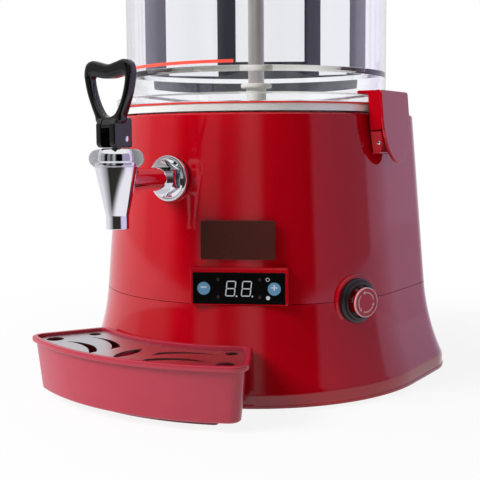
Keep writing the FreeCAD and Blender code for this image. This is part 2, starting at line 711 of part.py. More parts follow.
def foot_places():
    """Axes of the four feet: two under the front half circle, two under the rear arc."""
    offset = BAND_RADIUS - FOOT_INSET
    rear = rear_reach(offset)
    front_turn, rear_turn = math.radians(FOOT_FRONT_DEG), math.radians(FOOT_REAR_DEG)
    places = []
    for side in (1, -1):
        places.append((side * offset * math.sin(front_turn), -offset * math.cos(front_turn)))
        places.append((side * rear * math.sin(rear_turn), rear * math.cos(rear_turn)))
    return places


def rubber_feet():
    steps = [(0, -FOOT_HEIGHT), (FOOT_RADIUS - 1.5, -FOOT_HEIGHT),
             (FOOT_RADIUS, BASE_Z), (0, BASE_Z)]
    return [turning(steps, x, y) for x, y in foot_places()]


def tie_screws():
    """Long screws through the base plate and the skirt's columns into the housing's bosses."""
    screws = []
    for x, y in column_places():
        head = rod(SCREW_HEAD, BASE_Z - SCREW_HEAD_HEIGHT, BASE_Z, x, y)
        shank = rod(SCREW_RADIUS, BASE_Z, COLUMN_TOP - 5, x, y)
        screws.append(fused([head, shank]))
    return screws


def cable_gland():
    """Black strain-relief bush in the rear of the skirt, with its cable bore."""
    outer = GLAND_FACE + PRESS
    bush = [(GLAND_BORE, outer - GLAND_LENGTH), (GLAND_HOLE - SLIP, outer - GLAND_LENGTH),
            (GLAND_HOLE - SLIP, outer), (GLAND_FLANGE, outer), (GLAND_FLANGE - 1, outer + 2),
            (GLAND_BORE + 2.5, outer + GLAND_NOSE), (GLAND_BORE, outer + GLAND_NOSE)]
    return turned(facing_front(bush, GLAND_Z), 180)


# ---- heating pan and tank --------------------------------------------------------------------
def heating_pan():
    """Deep-drawn steel pan with a rolled rim, a hole for the tap's shank and weld studs."""
    floor, sheet, r = PAN_FLOOR, PAN_SHEET, PAN_RADIUS
    under_rim = PAN_RIM_Z - sheet
    low_centre = (r - PAN_CORNER, floor - sheet + PAN_CORNER)
    rim_low = PAN_RIM_Z - RIM_HEIGHT
    pan = turning([
        (PIPE_RADIUS, floor - sheet), (low_centre[0], floor - sheet),
        corner_arc(*low_centre, PAN_CORNER, -90, 0),
        (r, under_rim), (RIM_RADIUS - sheet, under_rim), (RIM_RADIUS - sheet, rim_low),
        (RIM_RADIUS, rim_low), (RIM_RADIUS, PAN_RIM_Z - RIM_EDGE),
        corner_arc(RIM_RADIUS - RIM_EDGE, PAN_RIM_Z - RIM_EDGE, RIM_EDGE, 0, 90),
        (r - sheet, PAN_RIM_Z), (r - sheet, low_centre[1]),
        corner_arc(*low_centre, PAN_CORNER - sheet, 0, -90),
        (PIPE_RADIUS, floor)])
    studs = [rod(STUD_RADIUS, floor - sheet - STUD_LENGTH, floor - sheet, x, y)
             for x, y in stud_places()]
    hole = rod_y(TAP_PIPE_RADIUS + SLIP, -PAN_RADIUS - 2, -PAN_RADIUS + 4, 0, PIPE_Z)
    return cut(fused([pan] + studs), hole)


def stud_places():
    return [(STUD_CIRCLE * math.sin(2 * math.pi * i / STUD_COUNT),
             -STUD_CIRCLE * math.cos(2 * math.pi * i / STUD_COUNT)) for i in range(STUD_COUNT)]


def stand_pipe():
    low = PAN_FLOOR - PAN_SHEET - PIPE_BELOW
    return cut(rod(PIPE_RADIUS, low, PIPE_TOP), rod(PIPE_RADIUS - PIPE_WALL, low - 1, PIPE_TOP + 1))


def shaft_bushes():
    """Flanged plastic bushes at both ends of the stand pipe."""
    bore = SHAFT_RADIUS + RUNNING
    body = PIPE_RADIUS - PIPE_WALL - RUNNING
    steps = [(bore, -BUSH_LENGTH), (body, -BUSH_LENGTH), (body, 0),
             (PIPE_RADIUS - 0.3, 0), (PIPE_RADIUS - 0.3, BUSH_FLANGE), (bore, BUSH_FLANGE)]
    upper = moved(turning(steps), 0, 0, PIPE_TOP)
    lower = moved(turned(turning(steps), 180, X_AXIS), 0, 0, PAN_FLOOR - PAN_SHEET - PIPE_BELOW)
    return [upper, lower]


def pan_gasket():
    """Flat silicone ring between the rim and the tank's flange."""
    inner = PAN_RADIUS + 1
    outer = RIM_RADIUS + GASKET_OUT
    return turning([(inner, PAN_RIM_Z), (outer, PAN_RIM_Z), (outer, TANK_Z), (inner, TANK_Z)])


def tank():
    """Clear cylinder with a bottom flange and an inner shoulder, open at both ends."""
    foot_bore = PAN_RADIUS
    shoulder = TANK_Z + SHOULDER_HEIGHT
    return turning([
        (foot_bore, TANK_Z), (FLANGE_RADIUS - 0.6, TANK_Z), (FLANGE_RADIUS, TANK_Z + 0.6),
        (FLANGE_RADIUS, FLANGE_TOP - 0.8), (FLANGE_RADIUS - 0.8, FLANGE_TOP),
        (TANK_RADIUS + 1.2, FLANGE_TOP),
        ((TANK_RADIUS + 0.35, FLANGE_TOP + 0.35), (TANK_RADIUS, FLANGE_TOP + 1.2)),
        (TANK_RADIUS, TANK_TOP), (TANK_BORE, TANK_TOP),
        (TANK_BORE, shoulder), (foot_bore + 0.8, shoulder - SHOULDER_CHAMFER)])


def tank_lid():
    """Clear domed lid that laps over the tank's rim and carries a locating ring inside."""
    low = TANK_TOP + SEAT
    outer = TANK_RADIUS + MOVING + LID_OVERHANG
    ring = TANK_BORE - MOVING
    dome = low + LID_SHEET
    return turning([
        (LID_SCREW + SLIP, low + LID_RISE - LID_SHEET), (LID_CROWN, low + LID_RISE - LID_SHEET),
        (ring - 12, low + 1), (ring - 2.5, low - LID_SKIRT), (ring, low - LID_SKIRT),
        (ring, low), (outer - LID_OVERHANG, low), (outer - LID_OVERHANG, low - LID_SKIRT),
        (outer, low - LID_SKIRT), (outer, dome - 2), corner_arc(outer - 2, dome - 2, 2, 0, 90),
        (ring - 6, dome + 0.5), (LID_CROWN, low + LID_RISE), (LID_SCREW + SLIP, low + LID_RISE)])


def lid_knob():
    low = TANK_TOP + SEAT + LID_RISE
    top = low + KNOB_HEIGHT
    socket = LID_SCREW + PRESS
    depth = LID_SCREW_LENGTH - LID_SHEET + 0.5
    return turning([
        (socket, low), (KNOB_NECK + 3, low), (KNOB_NECK, low + 4), (KNOB_NECK, low + 7),
        ((KNOB_RADIUS - 3, low + 10), (KNOB_RADIUS, top - 6)),
        ((KNOB_RADIUS - 2.2, top - 2), (KNOB_RADIUS - 7, top)), (0, top),
        (0, low + depth), (socket, low + depth)])


def lid_screw():
    """Screw from below the lid into the knob; its head lies under the lid."""
    under = TANK_TOP + SEAT + LID_RISE - LID_SHEET
    return fused([rod(4, under - 2.2, under), rod(LID_SCREW, under, under + LID_SCREW_LENGTH)])


# ---- stirrer ---------------------------------------------------------------------------------
def stirrer_tube():
    low = PAN_FLOOR + PADDLE_LIFT
    return cut(rod(STIRRER_RADIUS, low, STIRRER_TOP),
               rod(STIRRER_RADIUS - STIRRER_WALL, low - 1, STIRRER_TOP + 1))


def stirrer_paddle():
    """Moulded paddle on the foot of the stirrer tube: a hub, two long arms with upright vanes
    and two short ones."""
    low = PAN_FLOOR + PADDLE_LIFT
    bar_top = low + PADDLE_BAR
    hub_top = low + HUB_HEIGHT
    hub = turning([(STIRRER_RADIUS - 1, low), (HUB_RADIUS, low), (HUB_RADIUS, hub_top - HUB_ROUND),
                   corner_arc(HUB_RADIUS - HUB_ROUND, hub_top - HUB_ROUND, HUB_ROUND, 0, 90),
                   (STIRRER_RADIUS - 1, hub_top)])
    pieces = [hub]
    for turn in (0, 180):
        arm = box(HUB_RADIUS - 3, PADDLE_REACH, -PADDLE_WIDTH / 2, PADDLE_WIDTH / 2, low, bar_top)
        vane_top = bar_top + VANE_HEIGHT
        vane = extruded(outline([
            (VANE_INNER, low), (PADDLE_REACH, low),
            (PADDLE_REACH, vane_top - VANE_ROUND),
            corner_arc(PADDLE_REACH - VANE_ROUND, vane_top - VANE_ROUND, VANE_ROUND, 0, 90),
            (VANE_INNER + 6, vane_top)],
            lambda p: Vector(p[0], -VANE_THICKNESS / 2, p[1])), Vector(0, VANE_THICKNESS, 0))
        slot = box(VANE_INNER + 12, PADDLE_REACH - 8, -5, 5, bar_top + 8,
                   vane_top - VANE_ROUND)
        pieces += [turned(arm, turn), turned(cut(vane, slot), turn)]
        stub = box(HUB_RADIUS - 3, PADDLE_REACH / 2, -VANE_THICKNESS / 2, VANE_THICKNESS / 2,
                   low, low + STUB_HEIGHT)
        pieces.append(turned(stub, turn + 90))
    paddle = fused(pieces)
    return cut(paddle, rod(STIRRER_RADIUS + PRESS, low - 1, hub_top + 1))


def stirrer_cap():
    """Black cap that closes the stirrer tube and sits on the end of the drive shaft."""
    low = STIRRER_TOP - CAP_LAP
    top = low + CAP_HEIGHT
    socket = STIRRER_RADIUS + PRESS
    return turning([
        (socket, low), (CAP_RADIUS, low), (CAP_RADIUS, top - 3),
        corner_arc(CAP_RADIUS - 3, top - 3, 3, 0, 90), (0, top),
        (0, STIRRER_TOP + CAP_SOCKET), (SHAFT_RADIUS + PRESS, STIRRER_TOP + CAP_SOCKET),
        (SHAFT_RADIUS + PRESS, STIRRER_TOP), (socket, STIRRER_TOP)])


def drive_shaft():
    return rod(SHAFT_RADIUS, DECK_Z + MOTOR_SHAFT_OUT + SEAT, STIRRER_TOP + CAP_SOCKET)


def motor_shaft():
    return rod(MOTOR_SHAFT, DECK_Z - BRACKET_SHEET - 10, DECK_Z + MOTOR_SHAFT_OUT)


def shaft_coupling():
    low = DECK_Z + COUPLING_LIFT
    middle = DECK_Z + MOTOR_SHAFT_OUT + SEAT / 2
    sleeve = rod(COUPLING_RADIUS, low, low + COUPLING_LENGTH)
    return cut(sleeve, rod(MOTOR_SHAFT + PRESS, low - 1, middle),
               rod(SHAFT_RADIUS + PRESS, middle - 1, low + COUPLING_LENGTH + 1))


def gear_motor():
    """Flat gear motor hung below its bracket, with a boss round its shaft."""
    top = DECK_Z - BRACKET_SHEET
    low = top - MOTOR_HEIGHT
    body = turning([(0, low), (MOTOR_RADIUS - 4, low), (MOTOR_RADIUS - 4, low + 18),
                    (MOTOR_RADIUS, low + 18), (MOTOR_RADIUS, top), (0, top)])
    terminals = box(-8, 8, MOTOR_RADIUS - 6, MOTOR_RADIUS + 3, low + 4, low + 14)
    bore = rod(MOTOR_SHAFT + MOVING, top - 11, top + 1)
    taps = [rod(SCREW_RADIUS + RUNNING, top - MOTOR_SCREW_DEPTH - 1, top + 1, x, y)
            for x, y in motor_screw_places()]
    return cut(fused([body, terminals]), bore, *taps)


def motor_bracket():
    """Bent steel bridge that stands on the base plate and carries the motor."""
    half = BRACKET_SPAN / 2
    sheet = BRACKET_SHEET
    steps = [
        (-half - BRACKET_FOOT, BASE_TOP), (-half, BASE_TOP), (-half, DECK_Z - sheet),
        (half, DECK_Z - sheet), (half, BASE_TOP), (half + BRACKET_FOOT, BASE_TOP),
        (half + BRACKET_FOOT, BASE_TOP + sheet), (half + sheet, BASE_TOP + sheet),
        (half + sheet, DECK_Z), (-half - sheet, DECK_Z), (-half - sheet, BASE_TOP + sheet),
        (-half - BRACKET_FOOT, BASE_TOP + sheet)]
    wire = outline(steps, lambda p: Vector(p[0], -BRACKET_WIDTH / 2, p[1]))
    bridge = extruded(wire, Vector(0, BRACKET_WIDTH, 0))
    holes = [rod(MOTOR_SHAFT + 3, DECK_Z - 5, DECK_Z + 1)]
    holes += [rod(SCREW_RADIUS + RUNNING, DECK_Z - 5, DECK_Z + 1, x, y)
              for x, y in motor_screw_places()]
    return cut(bridge, *holes)


def motor_screw_places():
    reach = MOTOR_RADIUS * 0.7
    return [(sx * reach, sy * reach * 0.7) for sx in (1, -1) for sy in (1, -1)]


def motor_screws():
    screws = []
    for x, y in motor_screw_places():
        head = rod(SCREW_HEAD, DECK_Z, DECK_Z + SCREW_HEAD_HEIGHT, x, y)
        shank = rod(SCREW_RADIUS, DECK_Z - BRACKET_SHEET - MOTOR_SCREW_DEPTH, DECK_Z, x, y)
        screws.append(fused([head, shank]))
    return screws


# ---- heater ----------------------------------------------------------------------------------
def heater_ring():
    """Tubular element bent to an open ring under the pan, its ends turned down at the rear."""
    z = PAN_FLOOR - PAN_SHEET - SEAT - HEATER_TUBE
    bend = 2 * HEATER_TUBE
    sweep = 360 - HEATER_GAP_DEG
    disc = Part.Face(Part.Wire(Part.makeCircle(HEATER_TUBE, Vector(HEATER_RING, 0, z), Y_AXIS)))
    ring = disc.revolve(ORIGIN, Z_AXIS, sweep)
    elbow = disc.revolve(Vector(0, 0, z - bend), X_AXIS, 90)
    end = rod(HEATER_TUBE, z - bend - HEATER_LEG, z - bend, HEATER_RING, -bend)
    to_rear = 90 + HEATER_GAP_DEG / 2
    tail = turned(elbow.fuse(end), to_rear)
    return fused([turned(ring, to_rear), tail, mirrored(tail)])


def heater_clamp():
    """Pressed ring that the studs pull up against the element, open where its ends turn down."""
    top = PAN_FLOOR - PAN_SHEET - SEAT - 2 * HEATER_TUBE
    inner = STUD_CIRCLE - 6
    outer = inner + CLAMP_WIDTH
    ring = turning([(inner, top - CLAMP_SHEET), (outer, top - CLAMP_SHEET), (outer, top),
                    (inner, top)])
    half_gap = HEATER_RING * math.sin(math.radians(HEATER_GAP_DEG / 2)) + HEATER_TUBE + 1
    notch = box(-half_gap, half_gap, inner / 2, outer + 1, top - 5, top + 5)
    holes = [rod(STUD_RADIUS + SLIP, top - 5, top + 5, x, y) for x, y in stud_places()]
    return cut(ring, notch, *holes)


def heater_nuts():
    top = PAN_FLOOR - PAN_SHEET - SEAT - 2 * HEATER_TUBE - CLAMP_SHEET
    nuts = []
    for x, y in stud_places():
        nut = turned(hexagon(STUD_NUT_FLATS, 0, STUD_NUT_HEIGHT, 0), 90, X_AXIS)
        nut = moved(nut, x, y, top - STUD_NUT_HEIGHT)
        nuts.append(cut(nut, rod(STUD_RADIUS + PRESS, top - 9, top + 1, x, y)))
    return nuts


def thermal_cutout():
    top = PAN_FLOOR - PAN_SHEET
    low = top - CUTOUT_HEIGHT
    body = rod(CUTOUT_RADIUS, low, top - SEAT, 0, SENSOR_CIRCLE)
    tabs = [box(s * 4 - 1, s * 4 + 1, SENSOR_CIRCLE - 3, SENSOR_CIRCLE + 3, low - 9, low)
            for s in (1, -1)]
    return fused([body] + tabs)


def temperature_probe():
    top = PAN_FLOOR - PAN_SHEET
    return fused([rod(PROBE_RADIUS, top - PROBE_LENGTH, top - SEAT, 0, -SENSOR_CIRCLE),
                  rod(2 * PROBE_RADIUS, top - 2, top - SEAT, 0, -SENSOR_CIRCLE)])


# ---- tap -------------------------------------------------------------------------------------
def tap_body():
    """Chrome cone with its outlet, and the pipe that runs through housing and pan."""
    cone = turning([
        (0, OUTLET_Z), (OUTLET_RADIUS - 0.6, OUTLET_Z), (OUTLET_RADIUS, OUTLET_Z + 0.6),
        (OUTLET_RADIUS, CONE_BOTTOM_Z), (CONE_TOP_RADIUS, CONE_TOP_Z), (0, CONE_TOP_Z)],
        0, -TAP_REACH)
    pipe = rod_y(TAP_PIPE_RADIUS, -TAP_REACH, -SHANK_END, 0, PIPE_Z)
    chamber = turning([
        (0, OUTLET_Z - 1), (OUTLET_BORE, OUTLET_Z - 1), (OUTLET_BORE, SEAT_Z),
        (CHAMBER_RADIUS, SEAT_Z + SEAT_SLOPE), (CHAMBER_RADIUS, CONE_TOP_Z + 1), (0, CONE_TOP_Z + 1)],
        0, -TAP_REACH)
    bore = rod_y(TAP_BORE, -TAP_REACH, -SHANK_END + 1, 0, PIPE_Z)
    return cut(fused([cone, pipe]), chamber, bore)


def tap_bonnet():
    """Screwed cap that guides the stem, with two round wings for the fingers."""
    base = CONE_TOP_Z
    plug = CHAMBER_RADIUS - RUNNING
    top = base + BONNET_HEIGHT
    cap = turning([
        (STEM_RADIUS + RUNNING, base - BONNET_PLUG), (plug, base - BONNET_PLUG), (plug, base),
        (CONE_TOP_RADIUS, base), (CONE_TOP_RADIUS, base + BONNET_FLANGE),
        (BONNET_RADIUS, base + BONNET_FLANGE + 0.6), (BONNET_RADIUS, top - 2),
        corner_arc(BONNET_RADIUS - 2, top - 2, 2, 0, 90), (STEM_RADIUS + RUNNING, top)])
    wings = []
    for side in (1, -1):
        reach = WING_SPAN / 2 - WING_RADIUS
        blank = rod_y(WING_RADIUS, -WING_THICKNESS / 2, WING_THICKNESS / 2, side * reach,
                      base + BONNET_HEIGHT / 2)
        wings.append(turned(blank, WING_BEARING - 90))
    core = rod(BONNET_RADIUS - 3, base - BONNET_PLUG - 1, top + 1)
    wings = [cut(wing, core) for wing in wings]
    return moved(fused([cap] + wings), 0, -TAP_REACH)


def bonnet_seal():
    """Rubber ring under the bonnet's plug, round the stem."""
    top = CONE_TOP_Z - BONNET_PLUG
    low = top - BONNET_SEAL
    return turning([(STEM_RADIUS + 0.1, low), (CHAMBER_RADIUS - 0.5, low),
                    (CHAMBER_RADIUS - 0.5, top), (STEM_RADIUS + 0.1, top)], 0, -TAP_REACH)


def valve_stem():
    """Steel stem with an eye for the lever's pin, set back from its axis."""
    low = SEAT_Z + STEM_DEPTH
    shank = rod(STEM_RADIUS, low, PIVOT_Z - EYE_RADIUS + 1, 0, -TAP_REACH)
    half = LEVER_SLOT / 2 - SEAT
    y = -TAP_REACH + PIVOT_BACK
    eye = rod_x(EYE_RADIUS, -half, half, y, PIVOT_Z)
    neck = box(-half, half, -TAP_REACH - STEM_RADIUS, y + EYE_RADIUS - 0.6,
               BONNET_TOP + SEAT, PIVOT_Z)
    bore = rod_x(LEVER_PIN_RADIUS + RUNNING, -half - 1, half + 1, y, PIVOT_Z)
    return cut(fused([shank, eye, neck]), bore)


def valve_cup():
    """Silicone plug on the stem's foot, closing the outlet."""
    low, top = SEAT_Z + SEAT, SEAT_Z + CUP_HEIGHT
    slope = (CHAMBER_RADIUS - OUTLET_BORE) / SEAT_SLOPE
    wide = OUTLET_BORE + slope * 3.5
    cup = turning([
        (0, low), (OUTLET_BORE - 0.5, low), (wide, low + 3.8), (wide, low + 6),
        (VALVE_CUP_RADIUS - 2, top), (0, top)], 0, -TAP_REACH)
    return cut(cup, rod(STEM_RADIUS + PRESS, SEAT_Z + STEM_DEPTH, top + 1, 0, -TAP_REACH))


def valve_spring():
    """Closing spring between cup and seal, drawn as a sleeve at its pressed length."""
    low = SEAT_Z + CUP_HEIGHT + PRESS
    return turning([
        (STEM_RADIUS + 0.4, low), (VALVE_CUP_RADIUS - 2, low),
        (VALVE_CUP_RADIUS - 2, low + VALVE_SPRING_PRESSED),
        (STEM_RADIUS + 0.4, low + VALVE_SPRING_PRESSED)], 0, -TAP_REACH)


def escutcheon():
    """Chrome cover disc behind the nut, with a thin raised edge."""
    back, front = ESCUTCHEON_BACK, ESCUTCHEON_BACK + ESCUTCHEON_DEPTH
    bore = TAP_PIPE_RADIUS + SLIP
    edge = ESCUTCHEON_RADIUS
    return facing_front([
        (bore, back), (edge, back), (edge, front - 1.2), (edge - 0.6, front - 0.6),
        (edge - 1.6, front - 0.6), (edge - 2.4, front - 1.4),
        ((edge - 4, front - 0.5), (edge - 5, front)), (bore, front)], PIPE_Z)


def escutcheon_gasket():
    """Rubber pad, flat in front and shaped to the housing behind."""
    radius = ESCUTCHEON_RADIUS - 1
    disc = facing_front([
        (TAP_PIPE_RADIUS + SLIP, ESCUTCHEON_BACK - 8), (radius, ESCUTCHEON_BACK - 8),
        (radius, ESCUTCHEON_BACK - PRESS), (TAP_PIPE_RADIUS + SLIP, ESCUTCHEON_BACK - PRESS)], PIPE_Z)
    return disc.common(outside_housing(0.1))


def tap_nut():
    front = ESCUTCHEON_BACK + ESCUTCHEON_DEPTH + NUT_DEPTH
    corner = NUT_FLATS / math.sqrt(3)
    blank = hexagon(NUT_FLATS, -front, -front + NUT_DEPTH - PRESS, PIPE_Z)
    dome = facing_front([
        (0, front - NUT_DEPTH), (corner, front - NUT_DEPTH),
        (corner, front - 1), (NUT_FLATS / 2 - 0.4, front), (0, front)], PIPE_Z)
    bore = rod_y(TAP_PIPE_RADIUS + PRESS, -front - 1, -front + NUT_DEPTH + 1, 0, PIPE_Z)
    return cut(blank.common(dome), bore)


def shank_spacer():
    """Silicone sleeve on the shank between pan and housing, shaped to both walls."""
    sleeve = facing_front([
        (TAP_PIPE_RADIUS + SLIP, PAN_RADIUS - 4), (SEAL_RADIUS, PAN_RADIUS - 4),
        (SEAL_RADIUS, ESCUTCHEON_BACK), (TAP_PIPE_RADIUS + SLIP, ESCUTCHEON_BACK)], PIPE_Z)
    pan_outer = rod(PAN_RADIUS + 0.1, PIPE_Z - 30, PIPE_Z + 30)
    return cut(sleeve, pan_outer, outside_housing(-WALL - 0.1))


def shank_seal():
    """Silicone washer inside the pan, shaped to its wall."""
    inner_wall = PAN_RADIUS - PAN_SHEET
    washer = facing_front([
        (TAP_PIPE_RADIUS + SLIP, SEAL_FLAT), (SEAL_RADIUS, SEAL_FLAT), (SEAL_RADIUS, PAN_RADIUS + 2),
        (TAP_PIPE_RADIUS + SLIP, PAN_RADIUS + 2)], PIPE_Z)
    return washer.common(rod(inner_wall - 0.1, PIPE_Z - 30, PIPE_Z + 30))


def shank_lock_nut():
    front = SEAL_FLAT - PRESS
    back = front - LOCK_NUT_DEPTH
    blank = hexagon(LOCK_NUT_FLATS, -front, -back, PIPE_Z)
    return cut(blank, rod_y(TAP_PIPE_RADIUS + PRESS, -front - 1, -back + 1, 0, PIPE_Z))


def tap_lever():
    """Black moulded lever: a forked block over the stem's eye, with a heart-shaped grip loop."""
    front, rear = -TAP_REACH - LEVER_FRONT, -TAP_REACH + LEVER_REAR
    low, top = LEVER_BOTTOM, LEVER_TOP
    cam = LEVER_CAM_ROUND
    block = extruded(outline([
        (rear, low + 2), (rear, top), (front + 4, top), (front, top - 6),
        (front, low + cam), corner_arc(front + cam, low + cam, cam, 180, 270),
        (rear - 2, low), corner_arc(rear - 2, low + 2, 2, 270, 360)],
        lambda p: Vector(-LEVER_WIDTH / 2, p[0], p[1])), Vector(LEVER_WIDTH, 0, 0))

    half = LOOP_HALF_WIDTH
    rise = LOOP_TOP - LEVER_TOP
    right = [(half * 0.44, LEVER_TOP - 3), (half * 0.66, LEVER_TOP + rise * 0.2),
             (half * 0.84, LEVER_TOP + rise * 0.4), (half * 0.965, LEVER_TOP + rise * 0.6),
             (half, LEVER_TOP + rise * 0.78), (half * 0.9, LEVER_TOP + rise * 0.93),
             (half * 0.66, LOOP_TOP), (half * 0.34, LEVER_TOP + rise * 0.97)]
    dip = (0.0, LEVER_TOP + rise * 0.93)
    left = [(-x, z) for x, z in reversed(right)]
    y_front = -TAP_REACH - LOOP_FRONT
    outer = loop_body(right + [dip] + left, y_front, LOOP_DEPTH)
    bar = LOOP_BAR
    inner_right = [(3.0, LEVER_TOP + 2.6), (half * 0.66 - bar, LEVER_TOP + rise * 0.27),
                   (half * 0.965 - bar, LEVER_TOP + rise * 0.62),
                   (half - bar - 0.2, LEVER_TOP + rise * 0.72)]
    opening = loop_opening(inner_right, y_front)
    edges = [edge for edge in outer.Edges if long_edge(edge)]
    loop = outer.makeFillet(LOOP_EDGE, edges)
    lever = fused([block, cut(loop, opening)])

    slot = box(-LEVER_SLOT / 2, LEVER_SLOT / 2, front - 1,
               -TAP_REACH + PIVOT_BACK + EYE_RADIUS + MOVING, low - 1, LEVER_SLOT_TOP)
    pin = rod_x(LEVER_PIN_RADIUS + PRESS, -LEVER_WIDTH, LEVER_WIDTH, -TAP_REACH + PIVOT_BACK, PIVOT_Z)
    return cut(lever, slot, pin)


def loop_body(points, y, depth):
    """The loop's outer form, from a smooth curve through its points closed by a flat foot."""
    curve = Part.BSplineCurve()
    curve.interpolate([Vector(x, y, z) for x, z in points])
    (start_x, start_z), (end_x, end_z) = points[0], points[-1]
    foot = Part.LineSegment(Vector(end_x, y, end_z), Vector(start_x, y, start_z))
    return extruded(Part.Wire([curve.toShape(), foot.toShape()]), Vector(0, depth, 0))


def loop_opening(right, y):
    """The finger opening: two smooth sides, a rounded foot and a top that sags in the middle."""
    start = -1.0
    sides = []
    for sign in (1, -1):
        curve = Part.BSplineCurve()
        curve.interpolate([Vector(sign * x, y + start, z) for x, z in right])
        sides.append(curve.toShape())
    (foot_x, foot_z), (top_x, top_z) = right[0], right[-1]
    foot = Part.Arc(Vector(-foot_x, y + start, foot_z), Vector(0, y + start, foot_z - 1.4),
                    Vector(foot_x, y + start, foot_z)).toShape()
    top = Part.Arc(Vector(-top_x, y + start, top_z), Vector(0, y + start, top_z - 1.2),
                   Vector(top_x, y + start, top_z)).toShape()
    wire = Part.Wire(Part.__sortEdges__([foot, sides[0], top, sides[1]]))
    return extruded(wire, Vector(0, LOOP_DEPTH + 2, 0))


def long_edge(edge):
    """True for the loop's front and rear outlines, not for its foot."""
    limits = edge.BoundBox
    return limits.ZMax - limits.ZMin > 10 and limits.YMax - limits.YMin < 0.1


def lever_pin():
    half = LEVER_WIDTH / 2
    return rod_x(LEVER_PIN_RADIUS, -half, half, -TAP_REACH + PIVOT_BACK, PIVOT_Z)


# ---- latches ---------------------------------------------------------------------------------
def latch_frame(shape):
    """Places a piece drawn about the latch's pin, +X off the housing and +Z up its face."""
    lean = math.radians(TAPER_DEG)
    leaning = turned(shape, -TAPER_DEG, Y_AXIS)
    return moved(leaning, housing_radius(LATCH_PIN_Z) + LATCH_PIN_OFF * math.cos(lean), 0,
                 LATCH_PIN_Z + LATCH_PIN_OFF * math.sin(lean))


def latch():
    """Red hooked latch: a tongue with a rounded end, two side walls, and a lip over the
    tank's flange."""
    half, sheet = LATCH_HALF_WIDTH, LATCH_SHEET
    face = LATCH_FACE_OFF
    tip = -LATCH_DROP
    high = LATCH_TOP - LATCH_PIN_Z + 6
    centre = tip + LATCH_CURVE
    curve = Part.Ellipse(Vector(face - sheet, 0, tip), Vector(face - sheet, half, centre),
                         Vector(face - sheet, 0, centre))
    lower = Part.ArcOfEllipse(curve, -math.pi / 2, math.pi / 2).toShape()
    ends = [lower.Vertexes[0].Point, lower.Vertexes[-1].Point]
    tops = [Vector(p.x, p.y, high) for p in ends]
    wire = tongue_wire(lower, ends, tops)
    tongue = extruded(wire, Vector(sheet, 0, 0))
    inner = -LATCH_PIN_OFF + 0.9
    cheek_steps = [
        (inner, high), (inner, 8.0), (inner + 1.6, -4.0), (inner + 3.4, -8.0),
        (face - sheet / 2, -8.0), (face - sheet / 2, high)]
    cheeks = []
    for side in (1, -1):
        y = side * half if side < 0 else half - LATCH_SIDE
        cheeks.append(extruded(outline(cheek_steps, lambda p: Vector(p[0], y, p[1])),
                               Vector(0, LATCH_SIDE, 0)))
    inwards = extruded(wire, Vector(-2 * (LATCH_PIN_OFF + face), 0, 0))
    form = inwards.fuse(tongue)
    cheeks = [cheek.common(form) for cheek in cheeks]
    hook = fused([tongue] + cheeks)
    hook = cut(hook, rod_y(LATCH_PIN_RADIUS + RUNNING, -half - 1, half + 1))
    hook = latch_frame(hook)
    reach = housing_radius(LATCH_PIN_Z) + 60
    hook = cut(hook, box(0, reach, -2 * half, 2 * half, LATCH_TOP, LATCH_TOP + 60))
    lean_out = housing_radius(LATCH_TOP) + LATCH_PIN_OFF + LATCH_FACE_OFF - sheet / 2
    lip_start = math.sqrt(LATCH_LIP_RADIUS ** 2 - half ** 2) - 1
    lip = box(lip_start, lean_out, -half, half, FLANGE_TOP + SEAT, LATCH_TOP)
    lip = cut(lip, rod(LATCH_LIP_RADIUS, FLANGE_TOP - 2, LATCH_TOP + 2))
    return fused([hook, lip])


def tongue_wire(lower, ends, tops):
    """The tongue's outline: its rounded lower end, two sides and the top."""
    return Part.Wire([lower, Part.makeLine(ends[1], tops[1]), Part.makeLine(tops[1], tops[0]),
                      Part.makeLine(tops[0], ends[0])])


def latch_bracket():
    """Red hinge block on the housing: a pad with two lugs round the pin and a gap between."""
    outer = LUG_GAP + LUG_WIDTH
    back = -LATCH_PIN_OFF + PRESS
    front = back + PAD_SHEET
    low, high = -LUG_BELOW, LUG_ABOVE
    pad = box(back, front, -outer, outer, low, high)
    round_x = LUG_RADIUS * math.cos(math.radians(60))
    round_z = LUG_RADIUS * math.sin(math.radians(60))
    lug = extruded(outline([
        (back, low), (front, low), (round_x, -round_z),
        corner_arc(0, 0, LUG_RADIUS, -60, 60), (front, high), (back, high)],
        lambda p: Vector(p[0], -outer, p[1])), Vector(0, 2 * outer, 0))
    middle = box(front, LUG_RADIUS + 1, -LUG_GAP, LUG_GAP, low - 1, high + 1)
    bracket = cut(fused([pad, lug]), middle, rod_y(LATCH_PIN_RADIUS + PRESS, -outer - 1, outer + 1))
    holes = [rod_x(SCREW_RADIUS + RUNNING, back - 1, back + LUG_SCREW_DEPTH + 1, y, LUG_SCREW_Z)
             for y in lug_screw_places()]
    return latch_frame(cut(bracket, *holes))


def lug_screw_places():
    return [side * (LUG_GAP + LUG_WIDTH / 2) for side in (1, -1)]


def bracket_screws():
    """Screws from inside the housing into the lugs. The front one stands further in, where
    the wall curves away."""
    wall = -LATCH_PIN_OFF - WALL
    screws = []
    for y in lug_screw_places():
        seat = wall - (y * y / (2 * (TOP_RADIUS - WALL)) if y < 0 else 0) - LUG_SCREW_SETBACK
        head = rod_x(SCREW_HEAD, seat - SCREW_HEAD_HEIGHT, seat, y, LUG_SCREW_Z)
        shank = rod_x(SCREW_RADIUS, seat, -LATCH_PIN_OFF + LUG_SCREW_DEPTH, y, LUG_SCREW_Z)
        screws.append(latch_frame(fused([head, shank])))
    return screws


def latch_pin():
    return latch_frame(rod_y(LATCH_PIN_RADIUS, -LATCH_HALF_WIDTH, LATCH_HALF_WIDTH))


